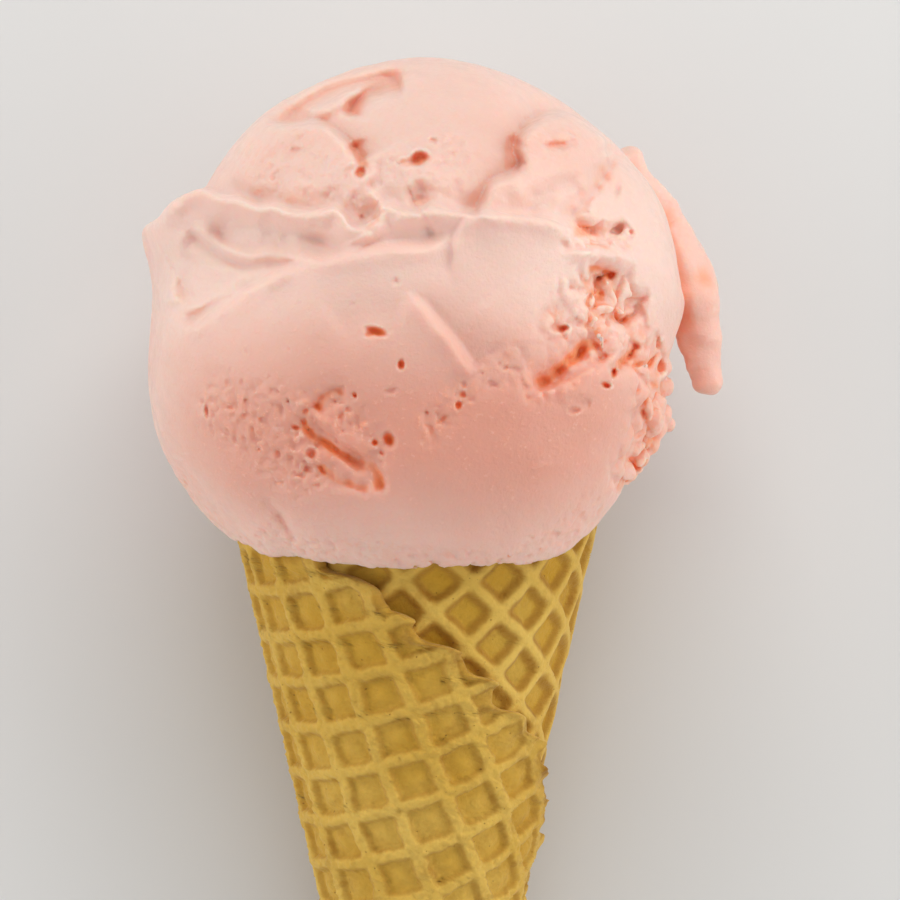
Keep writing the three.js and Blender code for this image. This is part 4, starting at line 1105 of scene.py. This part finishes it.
def wafer_tree(material):
    """The rolled wafer: a fine grid bent round the cone by rule, the pressed cells sunk into its outside."""
    plan, given = new_tree(
        "Rolled wafer",
        [
            ("Columns", "NodeSocketInt", SHEET_COLUMNS),
            ("Rows", "NodeSocketInt", SHEET_ROWS),
            ("Rim Radius", "NodeSocketFloat", RIM_RADIUS),
            ("Layer", "NodeSocketFloat", 1.6),
            ("Rib Pitch", "NodeSocketFloat", 6.66),
            ("Rib Half Width", "NodeSocketFloat", 0.6),
            ("Wall Width", "NodeSocketFloat", 0.8),
            ("Inner Rib Half Width", "NodeSocketFloat", 0.3),
            ("Inner Wall Width", "NodeSocketFloat", 1.4),
            ("Cell Depth", "NodeSocketFloat", 0.95),
            ("Overlap", "NodeSocketFloat", math.radians(16.0)),
            ("Torn Edge", "NodeSocketFloat", 0.8),
        ],
    )
    sockets = {"Size X": 1.0, "Size Y": 1.0, "Vertices X": given["Columns"], "Vertices Y": given["Rows"]}
    geometry = plan.term("GeometryNodeMeshGrid", None, sockets, out="Mesh")
    layer, pitch = given["Layer"], given["Rib Pitch"]

    # one way, the grid runs along the outside from the hidden edge to the lap, turns over and comes back
    x, y, _ = plan.split(plan.term("GeometryNodeInputPosition"))
    share, t = x + 0.5, y + 0.5
    outside = 0.49
    outer = plan.bound(share / outside)
    inner = plan.bound((1 - share) / outside)
    turned = plan.bound((share - outside) / (1 - 2 * outside))
    u = plan.maths("MINIMUM", outer, inner)

    # the other way, it runs from the closed tip up to the rim
    tip_share, rim_share = 0.012, 0.008
    cap = plan.bound(t / tip_share)
    slant_run = (RIM_SLANT - TIP_SLANT) / (1 - tip_share)
    slant = plan.maths("MAXIMUM", t - tip_share, 0.0) * slant_run + TIP_SLANT
    plain_radius = slant * (given["Rim Radius"] / RIM_SLANT)

    # the lap edge: the rim of the disc that was baked, bitten unevenly
    bearing = plan.maths("ARCCOSINE", plan.bound(slant / LAP_DISC))
    nibble = plan.maths("SINE", slant * 0.9) * plan.maths("SINE", slant * 0.37 + 1.0) * 0.022
    line = plan.join(slant, 3.0, 0.0)
    plain_lap = (bearing + nibble * 0.7 + LAP_DISC_TURN) / SIN_HALF
    edge_on_wafer = (plain_lap - GRID_ZERO) * (TURN_ON_WAFER / (2 * math.pi))
    edge_across = slant * plan.maths("COSINE", edge_on_wafer) - GRID_OFFSET[0]
    edge_up = slant * plan.maths("SINE", edge_on_wafer) - GRID_OFFSET[1]
    bitten = plan.cell(edge_across, edge_up, pitch, 0.5, 1.3)
    wander = (plan.noise(line, 0.2, 1.0) - 0.5) * 2.2 + (plan.noise(line, 0.42, 0.0) - 0.5) * 1.2
    fray = (wander - (bitten - 0.3) * 1.7) * given["Torn Edge"]
    back = (1 - u) * (given["Overlap"] + 2 * math.pi)
    azimuth = plain_lap - back + fray / (plain_radius + 1.0) * plan.maths("EXPONENT", (1 - u) * -20.0)
    turn = 2 * math.pi - back
    to_lap = back * plain_radius

    # the flat wafer's own grid
    on_wafer = (azimuth - GRID_ZERO) * (TURN_ON_WAFER / (2 * math.pi))
    across = slant * plan.maths("COSINE", on_wafer) - GRID_OFFSET[0]
    up = slant * plan.maths("SINE", on_wafer) - GRID_OFFSET[1]
    flat = plan.join(across, up, 0.0)
    across = across + (plan.noise(flat, 0.16, 2.0) - 0.5) * 1.6
    up = up + (plan.noise(plan.join(up, across, 9.0), 0.16, 2.0) - 0.5) * 1.6
    crumple = plan.maths("EXPONENT", to_lap * -0.30)
    across = across + (plan.noise(flat, 0.42, 2.0) - 0.5) * crumple * 2.2
    up = up + (plan.noise(plan.join(across, up, 5.0), 0.42, 2.0) - 0.5) * crumple * 2.2
    outermost = plan.smooth(turn, 2.2, 3.6)
    half = given["Inner Rib Half Width"] * (1 - outermost) + given["Rib Half Width"] * outermost
    wall = given["Inner Wall Width"] * (1 - outermost) + given["Wall Width"] * outermost
    ragged = (plan.noise(flat, 0.6, 3.0, 0.6) - 0.5) * (outermost * 0.9 + 0.12)
    depth = plan.cell(across, up, pitch, half + ragged, wall)
    cell_mark = plan.join(plan.maths("FLOOR", across / pitch), plan.maths("FLOOR", up / pitch), 0.0)
    dice = plan.term("ShaderNodeTexWhiteNoise", None, {"Vector": cell_mark}, out="Value")
    pillow = plan.cell(across, up, pitch, 1.0, 2.4) * (outermost * 0.5 + 0.05)
    rounding = plan.cell(across, up, pitch, 0.0, 1.3)
    press = given["Cell Depth"] * (dice * 0.3 + 0.85) * (1 - crumple * 0.5) * (1 - outermost * 0.12)
    rope = (plan.noise(flat, 1.0, 3.0, 0.6) - 0.5) * (1 - depth) * outermost * 1.3
    sunk = depth * press - pillow + rounding * 0.15 - rope
    rucked = plan.maths("EXPONENT", to_lap * -0.55)
    calm = plan.smooth(to_lap, 0.0, 2.5) * 0.75 + 0.25
    lumpy = (plan.noise(flat, 0.55, 3.0, 0.6) - 0.5) * (outermost * 0.4 + 0.14) * calm
    lumpy = lumpy + (plan.noise(flat, 0.42, 0.6) - 0.5) * crumple * 2.2
    lumpy = lumpy + (plan.noise(flat, 0.34, 0.4) - 0.40) * rucked * 2.2
    fine = (plan.noise(flat, 2.2, 3.0) - 0.5) * (0.14 + outermost * 0.1)
    blister = plan.smooth(plan.dots(flat, 0.45), 0.1, 0.3)
    near_rim = plan.smooth(RIM_SLANT - slant, 0.3, 1.2)
    near_tip = plan.smooth(slant - TIP_SLANT, 0.5, 4.0)
    shown = (1 - turned) * near_rim * near_tip * plan.smooth(turn, -0.06, 0.02)
    relief = (lumpy + (fine - sunk - (1 - blister) * 0.12) * calm) * shown

    # winding outwards by one layer a turn, thinned to nothing at the ends of the sheet
    taper = plan.smooth(slant, TIP_SLANT, TIP_SLANT + TIP_TAPER)
    tuck = plan.smooth(turn * -1.0, 0.0, 0.2) * 0.3
    lift = plan.maths("EXPONENT", to_lap * -0.35) * (plan.noise(line, 0.12, 2.0) - 0.2) * 0.5
    wound = layer * plan.maths("MAXIMUM", turn, 0.0) / (2 * math.pi)
    push = (wound - LAP_UNDER - tuck + lift * near_rim) * taper
    rim_end = plan.bound((1 - t) / rim_share)
    round_rim = plan.maths("SQRT", rim_end * (2 - rim_end))
    round_tip = plan.maths("SQRT", cap * (2 - cap))
    stout = layer * 0.92 * (1 + plan.maths("EXPONENT", to_lap * -0.6) * 0.5)
    thinner_tip = plan.smooth(slant, TIP_SLANT, TIP_SLANT + 5.0) * 0.6 + 0.4
    thick = stout * thinner_tip * round_rim * plan.smooth(u, 0.0, 0.02)
    bend = turned * math.pi
    inward = (1 - plan.maths("COSINE", bend)) * 0.5
    bulge = plan.maths("SINE", bend) * thick * 0.45
    radius = (plain_radius + push + relief - inward * thick) * round_tip
    angle = azimuth + bulge / (plain_radius + 1.0)

    x_up = radius * plan.maths("SINE", angle)
    z_up = radius * plan.maths("COSINE", angle)
    y_up = slant * COS_HALF - APEX_DEPTH - (1 - cap) * (1 - cap) * (TIP_RADIUS / 2)
    x_laid = x_up * 0.001 + RIM_AT[0] / 1000
    y_laid = (y_up * math.cos(LEAN) - z_up * math.sin(LEAN) + RIM_AT[1]) * 0.001
    z_laid = (y_up * math.sin(LEAN) + z_up * math.cos(LEAN) + RIM_AT[2]) * 0.001
    place = plan.join(x_laid, y_laid, plan.maths("MAXIMUM", z_laid, LEAST_HEIGHT))

    # the sheet's coordinates go with the mesh, so that the baked colours and the painted shade follow the
    # pattern
    far = plan.bound(to_lap + turned * 3.0 + (1 - plan.smooth(turn, -0.05, 0.05)) * 30.0, 0.0, 99.0)
    kept = (
        ("FLOAT_VECTOR", "sheet", plan.join(across, up, far)),
        ("FLOAT", "sunk", sunk * shown),
        ("FLOAT", "outermost", outermost),
    )
    for kind, name, value in kept:
        sockets = {"Geometry": geometry, "Name": name, "Value": value}
        settings = {"data_type": kind, "domain": "POINT"}
        geometry = plan.term("GeometryNodeStoreNamedAttribute", settings, sockets)
    geometry = plan.term("GeometryNodeSetPosition", None, {"Geometry": geometry, "Position": place})
    geometry = plan.term("GeometryNodeMergeByDistance", None, {"Geometry": geometry, "Distance": 0.000001})
    end_tree(plan, geometry, material)
    return plan


# ---- What a user may change


def size_setting(name, description, default):
    return FloatProperty(name=name, description=description, default=default, unit="LENGTH")


def colour_setting(name, description, default):
    return FloatVectorProperty(name=name, description=description, default=default, subtype="COLOR")


def power_setting(name, description, default):
    return FloatProperty(name=name, description=description, default=default, subtype="POWER")


class WaferSettings(PropertyGroup):
    """Sizes and colours of the wafer."""

    rim_radius: size_setting("Rim radius", "Outside radius at the rim", 0.026)
    layer: size_setting("Layer", "Thickness of the rolled wafer", 0.0016)
    rib_pitch: size_setting("Rib pitch", "From rib to rib", 0.00666)
    rib_half: size_setting("Rib half width", "Half a rib's flat top", 0.00058)
    wall: size_setting("Wall width", "Width of a cell's sloping wall", 0.00085)
    inner_rib_half: size_setting("Inner rib half width", "The same on the first turn", 0.00036)
    inner_wall: size_setting("Inner wall width", "The same on the first turn", 0.0016)
    cell_depth: size_setting("Cell depth", "How deep a cell is pressed", 0.00112)
    torn_edge: size_setting("Torn edge", "How far the lap edge wanders", 0.0008)
    colour: colour_setting("Colour", "Baked ribs and floors", (0.56, 0.30, 0.020))
    pale_colour: colour_setting("Pale colour", "Paler ribs", (0.74, 0.485, 0.10))
    # colour of the toasting and the painted shade on cell walls, toast spots, lap edge and pinholes
    toast_and_shade_colour: colour_setting("Wall colour", "Toasted cell walls", (0.36, 0.16, 0.010))
    # colour of the painted shadow along the lap edge and the painted shade in pinholes, with some scorching
    scorch_and_shade_colour: colour_setting("Edge colour", "Brown torn edge", (0.20, 0.082, 0.010))


class CreamSettings(PropertyGroup):
    """Fineness and colours of the ice cream."""

    step: size_setting("Step", "Spacing of the fine grid", 0.00034)
    seed: IntProperty(name="Seed", description="Seed of the cream's unevenness", default=7)
    colour: colour_setting("Colour", "Plain cream", (0.86, 0.52, 0.43))
    pale_colour: colour_setting("Pale colour", "Paler cream", (0.89, 0.60, 0.51))
    # colour of the painted shade on the front mass
    front_shade_colour: colour_setting("Full colour", "Thickest cream", (0.76, 0.335, 0.245))
    # colour of the painted shade in hollows, and of the flecks
    shade_and_fleck_colour: colour_setting("Warm colour", "Wide hollows", (0.90, 0.38, 0.24))
    # colour of the painted shade in pits, grooves and crevices
    recess_shade_colour: colour_setting("Hollow colour", "Deep pits", (0.98, 0.30, 0.10))
    # colour of the painted light on thin edges, upper folds and the top, and of the ice grain
    frost_and_highlight_colour: colour_setting("Frost colour", "Thin edges", (0.95, 0.74, 0.66))


class StageSettings(PropertyGroup):
    """Floor and light."""

    floor_colour: colour_setting("Floor", "Floor colour", (0.74, 0.74, 0.735))
    left_power: power_setting("Left light", "Power of the left light", 1.15)
    right_power: power_setting("Right light", "Power of the right light", 1.22)
    top_power: power_setting("Top light", "Power of the light beyond the scoop", 1.75)
    low_power: power_setting("Low light", "Power of the light beyond the tip", 0.6)
    front_power: power_setting("Front light", "Power of the light by the eye", 0.15)


# ---- One operator for each piece


class CONE_OT_wafer(Operator):
    """Rolls the pressed wafer in place of the plain one"""

    bl_idname = "cone.wafer"
    bl_label = "Roll the wafer"

    def execute(self, context):
        settings = context.scene.cone_wafer
        material = wafer_material(settings)
        plan = wafer_tree(material)
        values = {
            "Columns": SHEET_COLUMNS,
            "Rows": SHEET_ROWS,
            "Rim Radius": settings.rim_radius * 1000,
            "Layer": settings.layer * 1000,
            "Rib Pitch": settings.rib_pitch * 1000,
            "Rib Half Width": settings.rib_half * 1000,
            "Wall Width": settings.wall * 1000,
            "Inner Rib Half Width": settings.inner_rib_half * 1000,
            "Inner Wall Width": settings.inner_wall * 1000,
            "Cell Depth": settings.cell_depth * 1000,
            "Torn Edge": settings.torn_edge * 1000,
        }
        mesh = grow("wafer_sheet", plan, values)
        if len(mesh.polygons) < 1000:
            raise RuntimeError("the wafer tree made no sheet")
        mesh = thinned(mesh, MOST_TRIANGLES)
        wafer = piece("wafer_sheet", mesh, material)
        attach(wafer, "root")
        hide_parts("wafer_cone")
        return {"FINISHED"}


class CONE_OT_ice_cream(Operator):
    """Makes the torn, folded scoop in place of the plain one"""

    bl_idname = "cone.ice_cream"
    bl_label = "Scoop the ice cream"

    def execute(self, context):
        settings = context.scene.cone_cream
        scoop = Scoop(settings.seed)
        points, faces = scoop_mesh(scoop, settings.step * 1000)
        points, quads, cap = close_plug(points, faces)
        mesh = bpy.data.meshes.new("ice_cream_scoop")
        mesh.from_pydata(points.tolist(), [], quads.tolist() + cap.tolist())
        mesh = thinned(mesh, MOST_TRIANGLES)
        self.describe(mesh, scoop)
        scoop_piece = piece("ice_cream_scoop", mesh, cream_material(settings))
        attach(scoop_piece, "root")
        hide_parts("ice_cream")
        return {"FINISHED"}

    def describe(self, mesh, scoop):
        """Keeps with each point how hollow, thin-edged and torn the cream is, then lays the mesh down."""
        points = np.zeros(len(mesh.vertices) * 3)
        mesh.vertices.foreach_get("co", points)
        points = points.reshape(-1, 3)
        _, slope = scoop.slope(points)
        size = np.maximum(np.linalg.norm(slope, axis=1), 0.3)
        normal = slope / size[:, None]
        _, crumbly, grainy, recess_shade = scoop.marks(points)
        near, far, inwards = 1.0, 3.0, 0.9
        above = scoop.field(points + normal * near)
        wide = scoop.field(points + normal * far)
        below = scoop.field(points - normal * inwards)
        visible = points[:, 1] > -12
        # how hollow the cream is and the recess shade feed the painted shade in its colour; how thin it is
        # feeds the painted light on thin edges
        marks = {
            "hollow": np.clip(1 - above / near, 0, 1),
            "wide_hollow": np.clip(1 - wide / far, 0, 1),
            "edge": np.clip(1 + below / inwards, 0, 1) * smooth(points[:, 1], 1.0, 8.0),
            "torn": np.clip(crumbly + 0.7 * grainy, 0, 1),
            "recess_shade": np.clip(recess_shade, 0, 1),
        }
        for name, values in marks.items():
            layer = mesh.attributes.new(name, "FLOAT", "POINT")
            layer.data.foreach_set("value", (values * visible).astype(np.float32))
        lying = laid(points)
        lying[:, 2] = np.maximum(lying[:, 2], LEAST_HEIGHT)
        mesh.vertices.foreach_set("co", lying.ravel())
        mesh.update()


def area_light(name, place, size, power, colour):
    """A soft rectangular light that looks at the cone."""
    light = bpy.data.lights.new(name, "AREA")
    light.shape = "RECTANGLE"
    light.size, light.size_y = size
    light.energy = power
    light.color = colour
    obj = bpy.data.objects.new(name, light)
    bpy.context.scene.collection.objects.link(obj)
    obj.location = place
    obj.rotation_euler = (Vector(LIGHT_AIM) - Vector(place)).to_track_quat("-Z", "Y").to_euler()


class CONE_OT_stage(Operator):
    """Lays the floor and sets the lights and the camera"""

    bl_idname = "cone.stage"
    bl_label = "Set the stage"

    def execute(self, context):
        settings = context.scene.cone_stage
        scene = context.scene
        mesh = bpy.data.meshes.new("stage_floor")
        corners = [(x * FLOOR_HALF, y * FLOOR_HALF, 0.0) for x, y in ((-1, -1), (1, -1), (1, 1), (-1, 1))]
        mesh.from_pydata(corners, [], [(0, 1, 2, 3)])
        floor = piece("stage_floor", mesh, floor_material(settings))

        warm, plain = (1.0, 0.985, 0.96), (1.0, 1.0, 1.0)
        area_light("left softbox", (-0.46, 0.01, 0.20), (0.6, 0.3), settings.left_power, warm)
        area_light("right softbox", (0.46, 0.02, 0.22), (0.6, 0.3), settings.right_power, warm)
        area_light("top softbox", (0.05, 0.45, 0.45), (0.5, 0.35), settings.top_power, warm)
        area_light("low softbox", (0.05, -0.52, 0.34), (0.6, 0.3), settings.low_power, plain)
        area_light("front softbox", (0.0, -0.15, 0.75), (0.5, 0.5), settings.front_power, plain)

        world = bpy.data.worlds.new("studio")
        world.use_nodes = True
        background = world.node_tree.nodes["Background"].inputs
        background["Color"].default_value = (1.0, 1.0, 1.0, 1)
        background["Strength"].default_value = WORLD_STRENGTH
        scene.world = world
        scene.view_settings.view_transform = "Standard"

        camera = bpy.data.cameras.new("camera")
        camera.sensor_width = SENSOR
        camera.lens = SENSOR * EYE_DISTANCE / (PICTURE * PIXEL)
        eye = bpy.data.objects.new("camera", camera)
        scene.collection.objects.link(eye)
        across, up = EYE_AIM
        towards = np.array([0.0, math.sin(EYE_LIFT), math.cos(EYE_LIFT)])
        target = np.array([across, up * math.cos(EYE_LIFT), -up * math.sin(EYE_LIFT)])
        middle = laid([0.0, 0.0, 0.0])
        sky = laid([0.0, math.cos(EYE_LIFT), -math.sin(EYE_LIFT)]) - middle
        back = laid(towards) - middle
        right = Vector(sky).cross(Vector(back)).normalized()
        rotation = Matrix((right, Vector(sky).normalized(), Vector(back).normalized())).transposed()
        place = Matrix.Translation(laid(target + towards * EYE_DISTANCE))
        eye.matrix_world = place @ rotation.to_4x4()
        scene.camera = eye
        return {"FINISHED"}


class CONE_PT_panel(Panel):
    """The cone's pieces and their settings"""

    bl_label = "Ice Cream Cone"
    bl_idname = "CONE_PT_panel"
    bl_space_type = "VIEW_3D"
    bl_region_type = "UI"
    bl_category = "Cone"

    def draw(self, context):
        rows = (
            (CONE_OT_wafer, context.scene.cone_wafer),
            (CONE_OT_ice_cream, context.scene.cone_cream),
            (CONE_OT_stage, context.scene.cone_stage),
        )
        for operator, settings in rows:
            box = self.layout.box()
            box.operator(operator.bl_idname)
            for name in settings.__annotations__:
                box.prop(settings, name)


SETTINGS = {
    "cone_wafer": WaferSettings,
    "cone_cream": CreamSettings,
    "cone_stage": StageSettings,
}
CLASSES = (*SETTINGS.values(), CONE_OT_wafer, CONE_OT_ice_cream, CONE_OT_stage, CONE_PT_panel)


def register():
    for kind in CLASSES:
        bpy.utils.register_class(kind)
    for name, kind in SETTINGS.items():
        setattr(bpy.types.Scene, name, PointerProperty(type=kind))


def unregister():
    for name in SETTINGS:
        delattr(bpy.types.Scene, name)
    for kind in reversed(CLASSES):
        bpy.utils.unregister_class(kind)


def main():
    """Makes every piece in order."""
    register()
    bpy.ops.cone.wafer()
    bpy.ops.cone.ice_cream()
    bpy.ops.cone.stage()


if __name__ == "__main__":
    main()
